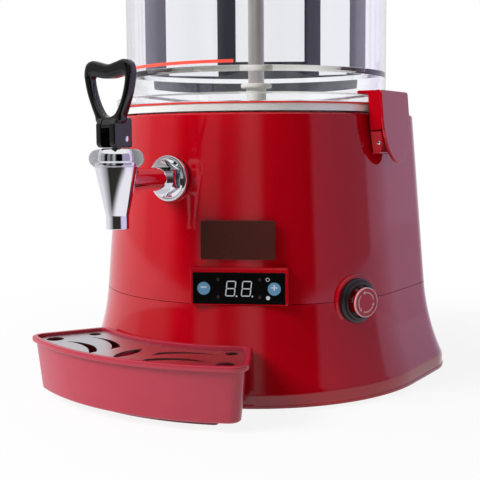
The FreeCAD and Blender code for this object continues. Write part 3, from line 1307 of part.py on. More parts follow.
def latch_spring():
    """Torsion spring on the pin between the lugs: its coil, and two short legs."""
    half = LUG_GAP - 0.5
    wire = SPRING_WIRE
    coil = rod_y(SPRING_COIL, -half, half)
    outer_leg = box(-SPRING_COIL, -SPRING_COIL + wire, -half, -half + wire, -LUG_BELOW, 0)
    inner_leg = box(-SPRING_COIL + 0.4, -SPRING_COIL + 0.4 + wire, half - wire, half,
                    -LUG_BELOW + 0.5, 0)
    bore = rod_y(SPRING_BORE, -half - 1, half + 1)
    return latch_frame(cut(fused([coil, outer_leg, inner_leg]), bore))


# ---- display and nameplate -------------------------------------------------------------------
def display_overlay():
    """Black acrylic front of the display, set in the housing's surround."""
    half = PANEL_WIDTH / 2 - SLIP
    low = SEAM_Z + SEAM_GAP / 2 + 0.1
    plate = box(-half, half, -OVERLAY_BACK - OVERLAY_THICKNESS, -OVERLAY_BACK - PRESS,
                low, PANEL_TOP - SLIP)
    return turned(plate, PANEL_BEARING)


def control_board():
    """Circuit board behind the display, on four pegs against the housing."""
    front = OVERLAY_BACK - BOARD_BACK
    low, high = SEAM_Z + 2, PANEL_TOP + 0.5
    half = PANEL_WIDTH / 2 - 2
    board = box(-half, half, -front, -front + BOARD_SHEET, low, high)
    inset = PEG_RADIUS + 0.1
    pegs = [rod_y(PEG_RADIUS, -OVERLAY_BACK + 2 + PRESS, -front, s * (half - inset), z)
            for s in (1, -1) for z in (low + inset, high - inset)]
    keys = [rod_y(KEY_RADIUS, -OVERLAY_BACK + SEAT, -front, s * KEY_PLACE, (SEAM_Z + PANEL_TOP) / 2)
            for s in (1, -1)]
    return turned(fused([board] + pegs + keys), PANEL_BEARING)


def digit_module():
    """Two-digit display block on the board, close behind the overlay."""
    front = OVERLAY_BACK - BOARD_BACK
    middle = (SEAM_Z + PANEL_TOP) / 2
    block = box(-DIGITS_WIDTH / 2, DIGITS_WIDTH / 2, -OVERLAY_BACK + SEAT, -front - PRESS,
                middle - DIGITS_HEIGHT / 2, middle + DIGITS_HEIGHT / 2)
    return turned(block, PANEL_BEARING)


def plate_frame(shape):
    """Leans a piece drawn upright at the nameplate's level to lie along the housing's taper."""
    leaning = turned(shape, -TAPER_DEG, X_AXIS, Vector(0, -housing_radius(PLATE_Z), PLATE_Z))
    return turned(leaning, PLATE_BEARING)


def nameplate():
    """Bare brown plate with rounded corners."""
    back = -housing_radius(PLATE_Z) - PLATE_OFF
    plate = box(-PLATE_WIDTH / 2, PLATE_WIDTH / 2, back - PLATE_THICKNESS, back,
                PLATE_Z - PLATE_HEIGHT / 2, PLATE_Z + PLATE_HEIGHT / 2)
    corners = [edge for edge in plate.Edges if edge.BoundBox.YLength > PLATE_THICKNESS / 2]
    return plate_frame(plate.makeFillet(PLATE_ROUND, corners))


def nameplate_pad():
    """Foam pad that fills the space between the flat plate and the curved housing."""
    back = -housing_radius(PLATE_Z) - PLATE_OFF
    half_x, half_z = PLATE_WIDTH / 2 - FOAM_INSET, PLATE_HEIGHT / 2 - FOAM_INSET
    pad = box(-half_x, half_x, back + PRESS, back + 2 * WALL, PLATE_Z - half_z, PLATE_Z + half_z)
    return plate_frame(pad).common(outside_housing(0.05))


# ---- stop switch -----------------------------------------------------------------------------
def stop_collar():
    """Black stepped collar in front of the boss, with its threaded barrel behind."""
    face = STOP_FACE + PRESS
    barrel = STOP_HOLE - SLIP
    bore = STOP_NECK + MOVING
    back = STOP_BLOCK_FRONT + PRESS
    collar = facing_front([
        (bore, back), (barrel, back), (barrel, face), (STOP_COLLAR, face),
        (STOP_COLLAR, face + 1.4), corner_arc(STOP_COLLAR - 1.2, face + 1.4, 1.2, 0, 90),
        (STOP_STEP + 0.4, face + 2.6), (STOP_STEP, face + 4.2),
        corner_arc(STOP_STEP - 0.8, face + 4.2, 0.8, 0, 90),
        (STOP_HEAD + 0.8, face + 4.6), (STOP_HEAD + 0.6, face + 1.6), (bore, face + 1.4)], STOP_Z)
    return stop_place(collar)


def stop_nut():
    """Round nut on the barrel, behind the boss's plate."""
    front = STOP_FACE - WALL - PRESS
    back = front - STOP_NUT_DEPTH
    bore, outer = STOP_HOLE - SLIP + PRESS, STOP_BOSS - WALL - 1.5
    return stop_place(facing_front([(bore, back), (outer, back), (outer, front), (bore, front)],
                                   STOP_Z))


def stop_block():
    """Contact block behind the barrel, with room for the plunger's travel."""
    half = STOP_BLOCK_WIDTH / 2
    block = box(-half, half, -STOP_BLOCK_FRONT, -STOP_BLOCK_BACK, STOP_Z - half, STOP_Z + half)
    room = rod_y(STOP_NECK, -STOP_BLOCK_FRONT - 1, -STOP_BLOCK_BACK - 4, 0, STOP_Z)
    return stop_place(cut(block, room))


def stop_plunger():
    """Rod that carries the head, with the shoulder that the return spring pushes on."""
    back = STOP_BLOCK_BACK + 4 + STOP_PRESS + 1
    front = STOP_FACE + 3
    high = STOP_FACE - STOP_SHOULDER
    low = high - STOP_SHOULDER_DEPTH
    wide = STOP_NECK - 1
    return stop_place(facing_front([
        (0, back), (STOP_ROD, back), (STOP_ROD, low), (wide, low), (wide, high),
        (STOP_ROD, high), (STOP_ROD, front), (0, front)], STOP_Z))


def stop_spring():
    """Return spring round the rod, drawn as a sleeve at its pressed length."""
    low = STOP_BLOCK_BACK + 4 + STOP_PRESS + 8
    high = STOP_FACE - STOP_SHOULDER - STOP_SHOULDER_DEPTH - PRESS
    bore, outer = STOP_ROD + 0.3, STOP_ROD + 1.9
    return stop_place(facing_front([(bore, low), (outer, low), (outer, high), (bore, high)], STOP_Z))


def stop_head():
    """Red head: a neck that flares to a flat face, turned on the plunger to release it."""
    back = STOP_FACE - 1.5
    face = STOP_HEAD_FACE
    bore = STOP_ROD + SEAT
    return stop_place(facing_front([
        (bore, back), (STOP_NECK, back), (STOP_NECK - 0.6, face - 5.5),
        ((STOP_NECK + 0.1, face - 3.6), (STOP_HEAD, face - 2.4)),
        (STOP_HEAD, face - 0.5), (STOP_HEAD - 0.5, face), (STOP_HEAD - 1.3, face),
        (STOP_HEAD - 1.6, face - 0.4), (0, face - 0.4),
        (0, STOP_FACE + 3 + SEAT), (bore, STOP_FACE + 3 + SEAT)], STOP_Z))


# ---- drip tray -------------------------------------------------------------------------------
def sector(inner, outer, inset, z, height, corner_in, corner_out):
    """An upright block of the tray's plan: a ring sector whose sides are moved in by inset."""
    def ends(radius):
        bearing = math.radians(TRAY_HALF_DEG) - math.asin(inset / radius)
        return radius * math.sin(bearing), -radius * math.cos(bearing)

    ix, iy = ends(inner)
    ox, oy = ends(outer)
    steps = [(ox, oy), ((0.0, -outer), (-ox, oy)), (-ix, iy), ((0.0, -inner), (ix, iy))]
    block = extruded(outline(steps, lambda p: Vector(p[0], p[1], z)), Vector(0, 0, height))
    block = block.makeFillet(corner_out, upright_edges(block, height, (inner + outer) / 2, outer + 1))
    return block.makeFillet(corner_in, upright_edges(block, height, 0.0, inner + 1))


def upright_edges(block, height, nearest, farthest):
    """A block's upright edges between two distances from the tank's axis."""
    found = []
    for edge in block.Edges:
        distance = math.hypot(edge.CenterOfMass.x, edge.CenterOfMass.y)
        if edge.BoundBox.ZLength > height / 2 and nearest < distance < farthest:
            found.append(edge)
    return found


def top_wire(block):
    """Outline of a block's upper face."""
    top = max(block.Faces, key=lambda face: face.CenterOfMass.z)
    return top.OuterWire


def drafted(high, low):
    """Straight loft between the upper outlines of two blocks."""
    return Part.makeLoft([top_wire(low), top_wire(high)], True, True)


def tray_block(margin, z, extra_rear=0.0, draft=0.0):
    """The tray's plan drawn in by a margin, as a thin block whose top is at z."""
    return sector(TRAY_REAR + margin + extra_rear, TRAY_FRONT - margin - draft, margin + draft,
                  z - 1, 1.0, max(TRAY_CORNER_REAR - margin / 2, 1.5),
                  max(TRAY_CORNER_FRONT - margin, 3.0))


def drip_tray():
    """Red tray: drafted walls with a rounded rim, a ledge for the grid, a foot ring and two
    flat tabs that slide below the skirt's edge."""
    rim_low = TRAY_TOP - RIM_BEAD
    lean = TRAY_REAR_DRAFT - RIM_WIDTH
    outer = drafted(tray_block(RIM_WIDTH, rim_low + 1),
                    tray_block(RIM_WIDTH, TRAY_BOTTOM, lean, TRAY_DRAFT))
    rim = sector(TRAY_REAR, TRAY_FRONT, 0.0, rim_low, RIM_BEAD, TRAY_CORNER_REAR, TRAY_CORNER_FRONT)
    rim_edges = [edge for edge in rim.Edges if edge.BoundBox.ZLength < 0.1]
    rim = rim.makeFillet(1.2, rim_edges)
    body = fused([outer, rim])

    floor = TRAY_BOTTOM + TRAY_WALL
    ledge_z = TRAY_TOP - GRID_DROP - GRID_SHEET
    margin = RIM_WIDTH + TRAY_WALL
    well_top = tray_block(margin + GRID_LEDGE - 1.5, ledge_z + 1)
    well_low = tray_block(margin, floor, lean + GRID_LEDGE - 1.5, TRAY_DRAFT)
    well = drafted(well_top, well_low)
    seat = sector(TRAY_REAR + margin - 1.5, TRAY_FRONT - margin + 1.5, margin - 1.5,
                  ledge_z, TRAY_TOP - ledge_z + 1, TRAY_CORNER_REAR - 2, TRAY_CORNER_FRONT - 4)
    body = cut(body, well, seat)

    foot = tray_block(TRAY_FOOT_INSET + RIM_WIDTH, TRAY_BOTTOM + 0.5, lean, TRAY_DRAFT)
    foot_height = TRAY_BOTTOM + FOOT_HEIGHT + 0.5
    foot = extruded(moved_wire(foot, -foot_height), Vector(0, 0, foot_height))
    hollow = tray_block(TRAY_FOOT_INSET + RIM_WIDTH + TRAY_WALL, TRAY_BOTTOM, lean, TRAY_DRAFT)
    hollow = extruded(moved_wire(hollow, -foot_height - 1), Vector(0, 0, foot_height + 1))
    return fused([body, cut(foot, hollow)] + [tray_tab(side) for side in (1, -1)])


def tray_tab(side):
    """A flat tab from the foot ring's rear side to below the skirt."""
    bearing = math.radians(TAB_BEARING)
    ring = TRAY_REAR + TRAY_REAR_DRAFT + TRAY_FOOT_INSET + TRAY_WALL
    x = side * ring * math.sin(bearing)
    front = -(ring * math.cos(bearing) - TRAY_WALL / 2)
    back = front + TRAY_FOOT_INSET + TRAY_FOOT_GAP + TAB_REACH
    return box(x - TAB_WIDTH / 2, x + TAB_WIDTH / 2, front, back, -FOOT_HEIGHT + SEAT, -TAB_CLEAR)


def moved_wire(block, dz):
    wire = top_wire(block).copy()
    wire.translate(Vector(0, 0, dz))
    return wire


def on_grid(out, bearing):
    """A place on the grid, in front of the tray's rear edge at that bearing."""
    angle = math.radians(bearing)
    radius = TRAY_REAR + out
    return radius * math.sin(angle), -radius * math.cos(angle)


def drip_grid():
    """Steel plate with round holes, two pairs of crescents and a leaf, alike on both sides."""
    margin = RIM_WIDTH + TRAY_WALL - 1.5 + MOVING
    top = TRAY_TOP - GRID_DROP
    low = top - GRID_SHEET
    plate = sector(TRAY_REAR + margin, TRAY_FRONT - margin, margin, low, GRID_SHEET,
                   TRAY_CORNER_REAR - 2, TRAY_CORNER_FRONT - 4)
    tools = []
    for side in (1, -1):
        for out, bearing, size in ((47.0, 25.2, 6.3), (15.5, 25.0, 4.5)):
            x, y = on_grid(out, side * bearing)
            tools.append(rod(size, low - 1, top + 1, x, y))
        outer_crescent = (on_grid(43.5, side * 21.4), on_grid(37.0, side * 11.8),
                          on_grid(47.0, side * 6.9), on_grid(53.4, side * 7.2),
                          on_grid(42.4, side * 12.6))
        inner_crescent = (on_grid(22.9, side * 22.4), on_grid(17.6, side * 12.6),
                          on_grid(26.6, side * 6.2), on_grid(35.2, side * 6.3),
                          on_grid(22.0, side * 12.9))
        tools += [crescent(points, low, top) for points in (outer_crescent, inner_crescent)]
    tip, middle, end = (on_grid(out, 0.0) for out in (53.0, 37.5, 22.0))
    half = 5.4
    leaf = outline([tip, ((half, middle[1]), end), ((-half, middle[1]), tip)],
                   lambda p: Vector(p[0], p[1], low - 1))
    tools.append(extruded(leaf, Vector(0, 0, GRID_SHEET + 2)))
    return cut(plate, *tools)


def crescent(points, low, top):
    """A cut-out from a pointed tip to a blunt end: two arcs and the short end between them."""
    tip, back, end_back, end_front, front = points
    wire = outline([tip, (back, end_back), end_front, (front, tip)],
                   lambda p: Vector(p[0], p[1], low - 1))
    return extruded(wire, Vector(0, 0, top - low + 2))


# ---- power board -----------------------------------------------------------------------------
def power_board():
    """Board with its relay, transformer and terminals, on four spacers over the base plate."""
    low = BASE_TOP + SPACER_HEIGHT
    top = low + BOARD_SHEET
    board = on_board(0.0, (POWER_BOARD_LENGTH, POWER_BOARD_WIDTH, BOARD_SHEET), low)
    end = POWER_BOARD_LENGTH / 2 - 1
    return fused([board,
                  on_board(-end + 7 + TRANSFORMER[0] / 2, TRANSFORMER, top),
                  on_board(end - 2 * TERMINALS[0] + 3 - RELAY[0] / 2, RELAY, top),
                  on_board(end - TERMINALS[0] / 2, TERMINALS, top)])


def on_board(x, size, z):
    """A block on the power board, centred at x."""
    length, width, height = size
    return box(x - length / 2, x + length / 2, POWER_BOARD_Y - width / 2,
               POWER_BOARD_Y + width / 2, z, z + height)


def board_spacers():
    inset = SPACER_RADIUS + 1
    half_x, half_y = POWER_BOARD_LENGTH / 2 - inset, POWER_BOARD_WIDTH / 2 - inset
    return [rod(SPACER_RADIUS, BASE_TOP, BASE_TOP + SPACER_HEIGHT, sx * half_x,
                POWER_BOARD_Y + sy * half_y) for sx in (1, -1) for sy in (1, -1)]


# ---- build -----------------------------------------------------------------------------------
os.makedirs("parts", exist_ok=True)

save("upper_housing", upper_housing())
save("base_skirt", base_skirt())
save("base_plate", base_plate())
save("rubber_feet", *rubber_feet())
save("tie_screws", *tie_screws())
save("cable_gland", cable_gland())
save("heating_pan", heating_pan())
save("stand_pipe", stand_pipe())
save("shaft_bushes", *shaft_bushes())
save("pan_gasket", pan_gasket())
save("tank", tank())
save("tank_lid", tank_lid())
save("lid_knob", lid_knob())
save("lid_screw", lid_screw())
save("stirrer_tube", stirrer_tube())
save("stirrer_paddle", stirrer_paddle())
save("stirrer_cap", stirrer_cap())
save("drive_shaft", drive_shaft())
save("motor_shaft", motor_shaft())
save("shaft_coupling", shaft_coupling())
save("gear_motor", gear_motor())
save("motor_bracket", motor_bracket())
save("fixing_screws", *motor_screws(), *bracket_screws(), *map(mirrored, bracket_screws()))
save("heater_ring", heater_ring())
save("heater_clamp", heater_clamp())
save("heater_nuts", *heater_nuts())
save("thermal_cutout", thermal_cutout())
save("temperature_probe", temperature_probe())
save("tap_body", tap_body())
save("tap_bonnet", tap_bonnet())
save("bonnet_seal", bonnet_seal())
save("valve_stem", valve_stem())
save("valve_cup", valve_cup())
save("valve_spring", valve_spring())
save("escutcheon", escutcheon())
save("escutcheon_gasket", escutcheon_gasket())
save("tap_nut", tap_nut())
save("shank_spacer", shank_spacer())
save("shank_seal", shank_seal())
save("shank_lock_nut", shank_lock_nut())
save("tap_lever", tap_lever())
save("lever_pin", lever_pin())
save("latch_right", latch())
save("latch_left", mirrored(latch()))
save("latch_brackets", latch_bracket(), mirrored(latch_bracket()))
save("latch_pins", latch_pin(), mirrored(latch_pin()))
save("latch_springs", latch_spring(), mirrored(latch_spring()))
save("display_overlay", display_overlay())
save("control_board", control_board(), digit_module())
save("nameplate", nameplate())
save("nameplate_pad", nameplate_pad())
save("stop_collar", stop_collar())
save("stop_nut", stop_nut())
save("stop_block", stop_block())
save("stop_plunger", stop_plunger())
save("stop_spring", stop_spring())
save("stop_head", stop_head())
save("drip_tray", drip_tray())
save("drip_grid", drip_grid())
save("power_board", power_board(), *board_spacers())
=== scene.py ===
# %% [markdown]
# # Hot chocolate dispenser
# A clear tank stands on a heated pan in a red moulded housing, with a lever tap in front.
# The CAD model is loaded first and never changes. Every visible surface gets a procedural
# finish, and the outer pieces are drawn again as finer meshes, because a glossy surface
# shows each flat facet. The machine's sizes are millimetres, and turn to metres in at(). The
# studio's floor and lamp are in metres.

import json
import math

import bmesh
import bpy
from mathutils import Matrix, Vector


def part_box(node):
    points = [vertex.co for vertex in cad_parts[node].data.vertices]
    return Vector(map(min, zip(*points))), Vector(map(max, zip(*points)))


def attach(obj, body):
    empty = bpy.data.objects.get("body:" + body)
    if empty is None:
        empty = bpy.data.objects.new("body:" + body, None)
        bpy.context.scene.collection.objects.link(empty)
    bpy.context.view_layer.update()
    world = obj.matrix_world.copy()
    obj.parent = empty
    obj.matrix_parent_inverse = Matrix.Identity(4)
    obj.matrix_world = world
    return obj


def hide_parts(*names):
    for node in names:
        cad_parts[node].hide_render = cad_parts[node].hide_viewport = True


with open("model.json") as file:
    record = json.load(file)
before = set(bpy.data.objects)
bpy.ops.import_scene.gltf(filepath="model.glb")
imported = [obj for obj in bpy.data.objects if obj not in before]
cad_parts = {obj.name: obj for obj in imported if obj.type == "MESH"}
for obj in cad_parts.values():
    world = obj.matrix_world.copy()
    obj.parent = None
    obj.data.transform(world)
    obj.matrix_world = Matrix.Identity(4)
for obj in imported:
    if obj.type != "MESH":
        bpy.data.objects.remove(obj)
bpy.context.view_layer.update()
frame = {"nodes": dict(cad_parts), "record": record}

# %% [markdown]
# ## Places and sizes
# The machine is described about the tank's axis, with z = 0 on the skirt's lower edge, +X to
# the right and the tap towards -Y. A bearing is an angle about that axis from the front
# towards the right. The stored frame has its origin elsewhere, so the shift between the two is
# read from the boxes of the tank and the skirt.

# %% Sizes of the machine
tank_low, tank_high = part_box("tank")
skirt_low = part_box("base_skirt")[0]
AXIS_Y = 1000 * (tank_low.y + tank_high.y) / 2
FOOT_HEIGHT = 1000 * skirt_low.z

# Clear tank, and the flange at its foot
TANK_RADIUS = 105.0
TANK_WALL = 3.0
TANK_Z = 213.2
TANK_TOP = 483.2
FLANGE_RADIUS = 113.3
FLANGE_TOP = 219.0
# Heating pan, and its rolled rim on top of the housing
PAN_RADIUS = 98.5
RIM_RADIUS = 112.0
PAN_RIM_Z = 212.0
PAN_FLOOR = 137.0
# Red housing: its wall leans out by TAPER for each millimetre down to the seam, and the skirt
# flares from there to the upright band at the foot
HOUSING_TOP = 206.0
SEAM_Z = 70.0
SEAM_RADIUS = 123.4
TAPER = (SEAM_RADIUS - RIM_RADIUS) / (HOUSING_TOP - SEAM_Z)
BAND_RADIUS = 139.2
BAND_HEIGHT = 10.0
SHELL = 3.0             # thickness of the moulded red shells
CORNER_X, CORNER_Y = 82.0, 53.0     # centre of a rear corner's round
# What stands on the housing
TAP_REACH = 176.0       # the cone's axis, in front of the tank's axis
PIPE_Z = 159.0
PANEL_BEARING = 26.0
STOP_BEARING = 67.7


def at(x, y, z):
    """A point of the machine, in millimetres, as a place in the stored frame, in metres."""
    return Vector((x, y + AXIS_Y, z + FOOT_HEIGHT)) / 1000


def housing_radius(z):
    """Plan offset of the upper housing's outer face."""
    return RIM_RADIUS + TAPER * (HOUSING_TOP - z)


print("axis y", round(AXIS_Y, 3), "foot", round(FOOT_HEIGHT, 3), "seam radius", housing_radius(SEAM_Z))

# %% [markdown]
# ## Nodes and colours
# A finish is a small graph of nodes. A picture of the surface could be wrapped on instead, but a
# graph needs no file and stays sharp from any distance. One function adds a node with its settings
# and links, and one turns a colour as a designer writes it (sRGB hex) into the linear numbers that
# light uses.


# %% Node helpers
# A Mix node has its own pair of sockets for each kind of value. These are the ones for colours.
MIX_A, MIX_B, MIX_RESULT = 6, 7, 2


def add_node(tree, kind, settings=None, links=None):
    """Adds a node. Settings fill its options or sockets; links are socket: (node, output)."""
    node = tree.nodes.new(kind)
    for name, value in (settings or {}).items():
        if isinstance(name, str) and hasattr(node, name):
            setattr(node, name, value)
        else:
            node.inputs[name].default_value = value
    for name, (source, output) in (links or {}).items():
        tree.links.new(source.outputs[output], node.inputs[name])
    return node


def linear(code, alpha=1.0):
    """A colour such as "AE0212" as linear red, green, blue and alpha."""
    parts = [int(code[i:i + 2], 16) / 255 for i in (0, 2, 4)]
    return tuple(c / 12.92 if c <= 0.04045 else ((c + 0.055) / 1.055) ** 2.4 for c in parts) + (alpha,)


def emptied(block):
    """The node tree of a material or world, with no nodes in it."""
    block.use_nodes = True
    block.node_tree.nodes.clear()
    return block.node_tree


def new_finish(name, **sockets):
    """A material with one Principled shader; sockets are its values by name."""
    finish = bpy.data.materials.new(name)
    tree = emptied(finish)
    values = {key.replace("_", " "): value for key, value in sockets.items()}
    shader = add_node(tree, "ShaderNodeBsdfPrincipled", values)
    add_node(tree, "ShaderNodeOutputMaterial", {}, {"Surface": (shader, "BSDF")})
    return finish, tree, shader


def grain(tree, size_mm, stretch=(1, 1, 1), detail=3.0):
    """Noise whose blotches are about size_mm wide, longer along an axis where stretch is small."""
    spot = add_node(tree, "ShaderNodeTexCoord")
    scaled = add_node(tree, "ShaderNodeMapping", {"Scale": stretch}, {"Vector": (spot, "Object")})
    return add_node(tree, "ShaderNodeTexNoise", {"Scale": 1000 / size_mm, "Detail": detail},
                    {"Vector": (scaled, "Vector")})


def uneven(tree, shader, noise, depth_mm, rough):
    """Gives a shader a slight relief, and a roughness that wanders between two values."""
    bump = add_node(tree, "ShaderNodeBump", {"Strength": 1.0, "Distance": depth_mm / 1000},
                    {"Height": (noise, "Fac")})
    tree.links.new(bump.outputs["Normal"], shader.inputs["Normal"])
    spread = add_node(tree, "ShaderNodeMapRange", {"To Min": rough[0], "To Max": rough[1]},
                      {"Value": (noise, "Fac")})
    tree.links.new(spread.outputs["Result"], shader.inputs["Roughness"])


def two_tone(tree, shader, noise, dark, light):
    """Lets the base colour wander between two near colours."""
    colour = add_node(tree, "ShaderNodeMix",
                      {"data_type": "RGBA", MIX_A: linear(dark), MIX_B: linear(light)},
                      {"Factor": (noise, "Fac")})
    tree.links.new(colour.outputs[MIX_RESULT], shader.inputs["Base Color"])


print("a deep red in linear numbers:", [round(c, 3) for c in linear("AE0212")])

# %% [markdown]
# ## Plastics
# The housing, skirt, tray and latches are ABS, moulded in a polished steel tool: a deep red
# with a sharp gloss and a very faint waviness, where the plastic shrank as it cooled. A plain
# shiny colour would look like paint on glass, so noise bends the surface by hundredths of a
# millimetre and lets the roughness wander a little.


# %% Red and black ABS
def moulded_abs(name, dark, light, rough, wave_mm=14.0):
    """Moulded ABS: even colour, clear gloss (IOR 1.53), faint long waves in the surface."""
    finish, tree, shader = new_finish(name, IOR=1.53)
    noise = grain(tree, wave_mm, detail=1.0)
    uneven(tree, shader, noise, 0.03, rough)
    two_tone(tree, shader, noise, dark, light)
    return finish


# Housing, skirt, latches and the switch's head: saturated red under nearly sharp reflections.
red_gloss_abs = moulded_abs("red_gloss_abs", "AE0212", "B60317", (0.05, 0.09))
# Tray: wider highlights, and a paler, pinker red that paints in part of the white floor's reflection.
red_satin_abs_painted_reflection = moulded_abs("red_satin_abs_painted_reflection", "A8243A", "B02A40", (0.14, 0.22))
# Lever, display, knob and stirrer cap: so dark that only reflections draw the shape.
black_gloss_abs = moulded_abs("black_gloss_abs", "040405", "08090A", (0.05, 0.10))
# The stop switch's collar and the cable gland: wide grey highlights on black.
black_satin_nylon = moulded_abs("black_satin_nylon", "08090A", "0E0F11", (0.3, 0.42), 3.0)
print(red_gloss_abs.name, black_gloss_abs.name, black_satin_nylon.name)

# %% [markdown]
# The tank and its lid are polycarbonate. A see-through mix of two shaders would be quicker to
# render, but it bends nothing. Real refraction with the plastic's high index (1.585) bends what
# stands behind the thick flange, and throws a bright line along each edge.


# %% Clear polycarbonate
def clear_polycarbonate():
    """Moulded clear plastic: full transmission, hardly any tint, sharp reflections."""
    finish, tree, shader = new_finish("clear_polycarbonate", Base_Color=linear("FCFDFF"), IOR=1.585,
                                      Transmission_Weight=1.0)
    noise = grain(tree, 40.0, detail=1.0)
    uneven(tree, shader, noise, 0.02, (0.0, 0.02))
    return finish


# Tank and lid: hardly any colour, and bright and dark lines where the wall curves away.
clear_pc = clear_polycarbonate()
print(clear_pc.name)

# %% [markdown]
# Acetal is a milky white plastic, waxy rather than glossy. White paint would look hard, so it
# gets a little light scattered below its surface. Silicone is softer still: matt, with a fine
# bloom, and so are rubber and foam, which are only rougher.


# %% White acetal, silicones and rubber
def soft_plastic(name, dark, light, rough, grain_mm, depth_mm, milky=0.0):
    """A matt or waxy moulded material with fine grain."""
    finish, tree, shader = new_finish(name, IOR=1.45, Subsurface_Weight=milky,
                                      Subsurface_Scale=0.002)
    noise = grain(tree, grain_mm)
    uneven(tree, shader, noise, depth_mm, rough)
    two_tone(tree, shader, noise, dark, light)
    return finish


# Paddle and bushes: milky white with soft edges.
white_acetal = soft_plastic("white_acetal", "DAD8D2", "E6E4DE", (0.30, 0.42), 6.0, 0.01, 0.2)
# Ring under the tank: a lighter, more orange red than the housing, without sharp highlights.
red_silicone = soft_plastic("red_silicone", "D8231A", "E62E22", (0.38, 0.5), 4.0, 0.02, 0.1)
# The tap's seals and valve cup: off-white and matt.
white_silicone = soft_plastic("white_silicone", "D2D2CE", "DEDEDA", (0.5, 0.6), 4.0, 0.02, 0.2)
# Feet, and the gasket behind the tap's cover disc: dull dark grey.
black_rubber = soft_plastic("black_rubber", "151515", "1E1E1E", (0.65, 0.8), 1.5, 0.03)
# Pad behind the nameplate: grey, with no highlight at all.
grey_foam = soft_plastic("grey_foam", "4A4A4A", "6A6A6A", (0.85, 0.95), 1.0, 0.2)
print("soft finishes:", white_acetal.name, red_silicone.name, black_rubber.name)

# %% [markdown]
# ## Metals
# The rim and the stirrer tube are stainless steel, the tap is brass with chrome plating, and the
# base plate and screws are zinc plated. Real grain is some hundredths of a millimetre, too fine to
# show, so it is drawn coarser. A bare metal only mirrors what is round it. The rim, the wings and
# the tube are finely scuffed and look pale from every side, so they are only partly metallic: the
# rest of their light scatters as from a matt surface.


# %% Steels, chrome and brass
def worked_metal(name, dark, light, rough, grain_mm, depth_mm, stretch=(1, 1, 1), metal=1.0):
    """A metal, with grain that is longer where stretch is small; metal is how metallic it is."""
    finish, tree, shader = new_finish(name, Metallic=metal)
    noise = grain(tree, grain_mm, stretch)
    uneven(tree, shader, noise, depth_mm, rough)
    two_tone(tree, shader, noise, dark, light)
    return finish


# Shafts, pins and the steel inside the machine: clear reflections, a little stretched by the turned grain.
drawn_stainless = worked_metal("drawn_stainless", "A9ABB0", "C4C6CA", (0.16, 0.24), 2.0, 0.004,
                               (1, 1, 0.15))
# Grid: blurred reflections with streaks from side to side.
brushed_stainless = worked_metal("brushed_stainless", "C2C4C8", "D6D8DC", (0.26, 0.38), 0.9, 0.01,
                                 (0.04, 1, 1))
# Pan and its rim: an even, nearly white band.
satin_stainless = worked_metal("satin_stainless", "ECECE8", "FAFAF6", (0.30, 0.44), 12.0, 0.01,
                               (1, 1, 0.3), 0.35)
# The bonnet's wings: silky pale grey beside the mirror of the cone.
tumbled_chrome = worked_metal("tumbled_chrome", "D0D3D6", "E2E5E8", (0.30, 0.40), 6.0, 0.01,
                              (1, 1, 1), 0.5)
# Stirrer tube: warm grey, with a soft upright highlight.
drawn_tube = worked_metal("drawn_tube", "B0A8A0", "CCC6C0", (0.25, 0.35), 8.0, 0.01, (1, 1, 0.2), 0.6)
# Base plate, bracket and screws: dull bluish grey.
zinc_steel = worked_metal("zinc_steel", "8C9096", "A4A8AC", (0.3, 0.45), 1.5, 0.01)
# Tap, its nut and its cover disc: a mirror, with the studio's panels as black and white bands.
polished_chrome = worked_metal("polished_chrome", "E2E4E8", "EAECF0", (0.03, 0.06), 12.0, 0.004)
# Springs: dark grey wire.
spring_steel = worked_metal("spring_steel", "70757B", "888C92", (0.25, 0.35), 1.0, 0.01)
# Shaft coupling: yellow metal with a fine grain.
turned_brass = worked_metal("turned_brass", "B08A48", "C49C56", (0.2, 0.3), 1.0, 0.01)
print("metals:", satin_stainless.name, tumbled_chrome.name, polished_chrome.name, turned_brass.name)

# %% [markdown]
# The nameplate is aluminium, anodised brown. Its colour lies in a clear, hard skin, so it is made
# as a coloured satin surface and not as bare metal. The motor's enamel and the green boards are
# out of sight in the housing and get plain finishes.


# %% Plate, motor and circuit boards
def anodised_plate():
    """Anodised brown aluminium, bare: fine satin grain with a weak gloss."""
    finish, tree, shader = new_finish("brown_anodised_plate", IOR=1.38)
    noise = grain(tree, 1.2)
    uneven(tree, shader, noise, 0.01, (0.24, 0.34))
    two_tone(tree, shader, noise, "40180F", "4A1C14")
    return finish


# Nameplate: dark chocolate brown with a faint, wide sheen.
brown_plate = anodised_plate()
# Gear motor: grey paint.
motor_enamel = soft_plastic("motor_enamel", "3A3F45", "454A50", (0.35, 0.5), 5.0, 0.02)
# Circuit boards: green lacquer.
glass_epoxy = soft_plastic("glass_epoxy_board", "0E4A2A", "16603A", (0.3, 0.4), 3.0, 0.01)

# The finish of each material slot in the record
FINISHES = {
    "red_abs": red_gloss_abs, "black_abs": black_gloss_abs, "black_matte": black_satin_nylon,
    "clear_pc": clear_pc, "white_acetal": white_acetal, "brown_plate": brown_plate,
    "steel": drawn_stainless, "zinc_steel": zinc_steel, "chrome": polished_chrome,
    "motor_paint": motor_enamel, "brass": turned_brass, "red_silicone": red_silicone,
    "white_silicone": white_silicone, "black_rubber": black_rubber, "board": glass_epoxy,
    "foam": grey_foam, "spring_steel": spring_steel,
}
print("slots:", len(FINISHES), "finishes:", len(bpy.data.materials))

# %% [markdown]
# ## The CAD meshes
# Each CAD node takes the finish of its slot in the record. The nodes that keep their CAD mesh
# show it, and the others are covered by finer pieces below. Smooth shading hides the facets, but
# a real edge has to stay sharp, so faces that meet at more than a limit keep a crease.

# %% Dress the CAD nodes
CAD_CREASE = 30.0       # degrees
for part in frame["record"]["subparts"]:
    cad_node = frame["nodes"][part["node"]]
    for holder in cad_node.material_slots:
        holder.material = FINISHES[part["material_slot"]]
    cad_node.data.shade_smooth()
    cad_node.data.set_sharp_from_angle(angle=math.radians(CAD_CREASE))

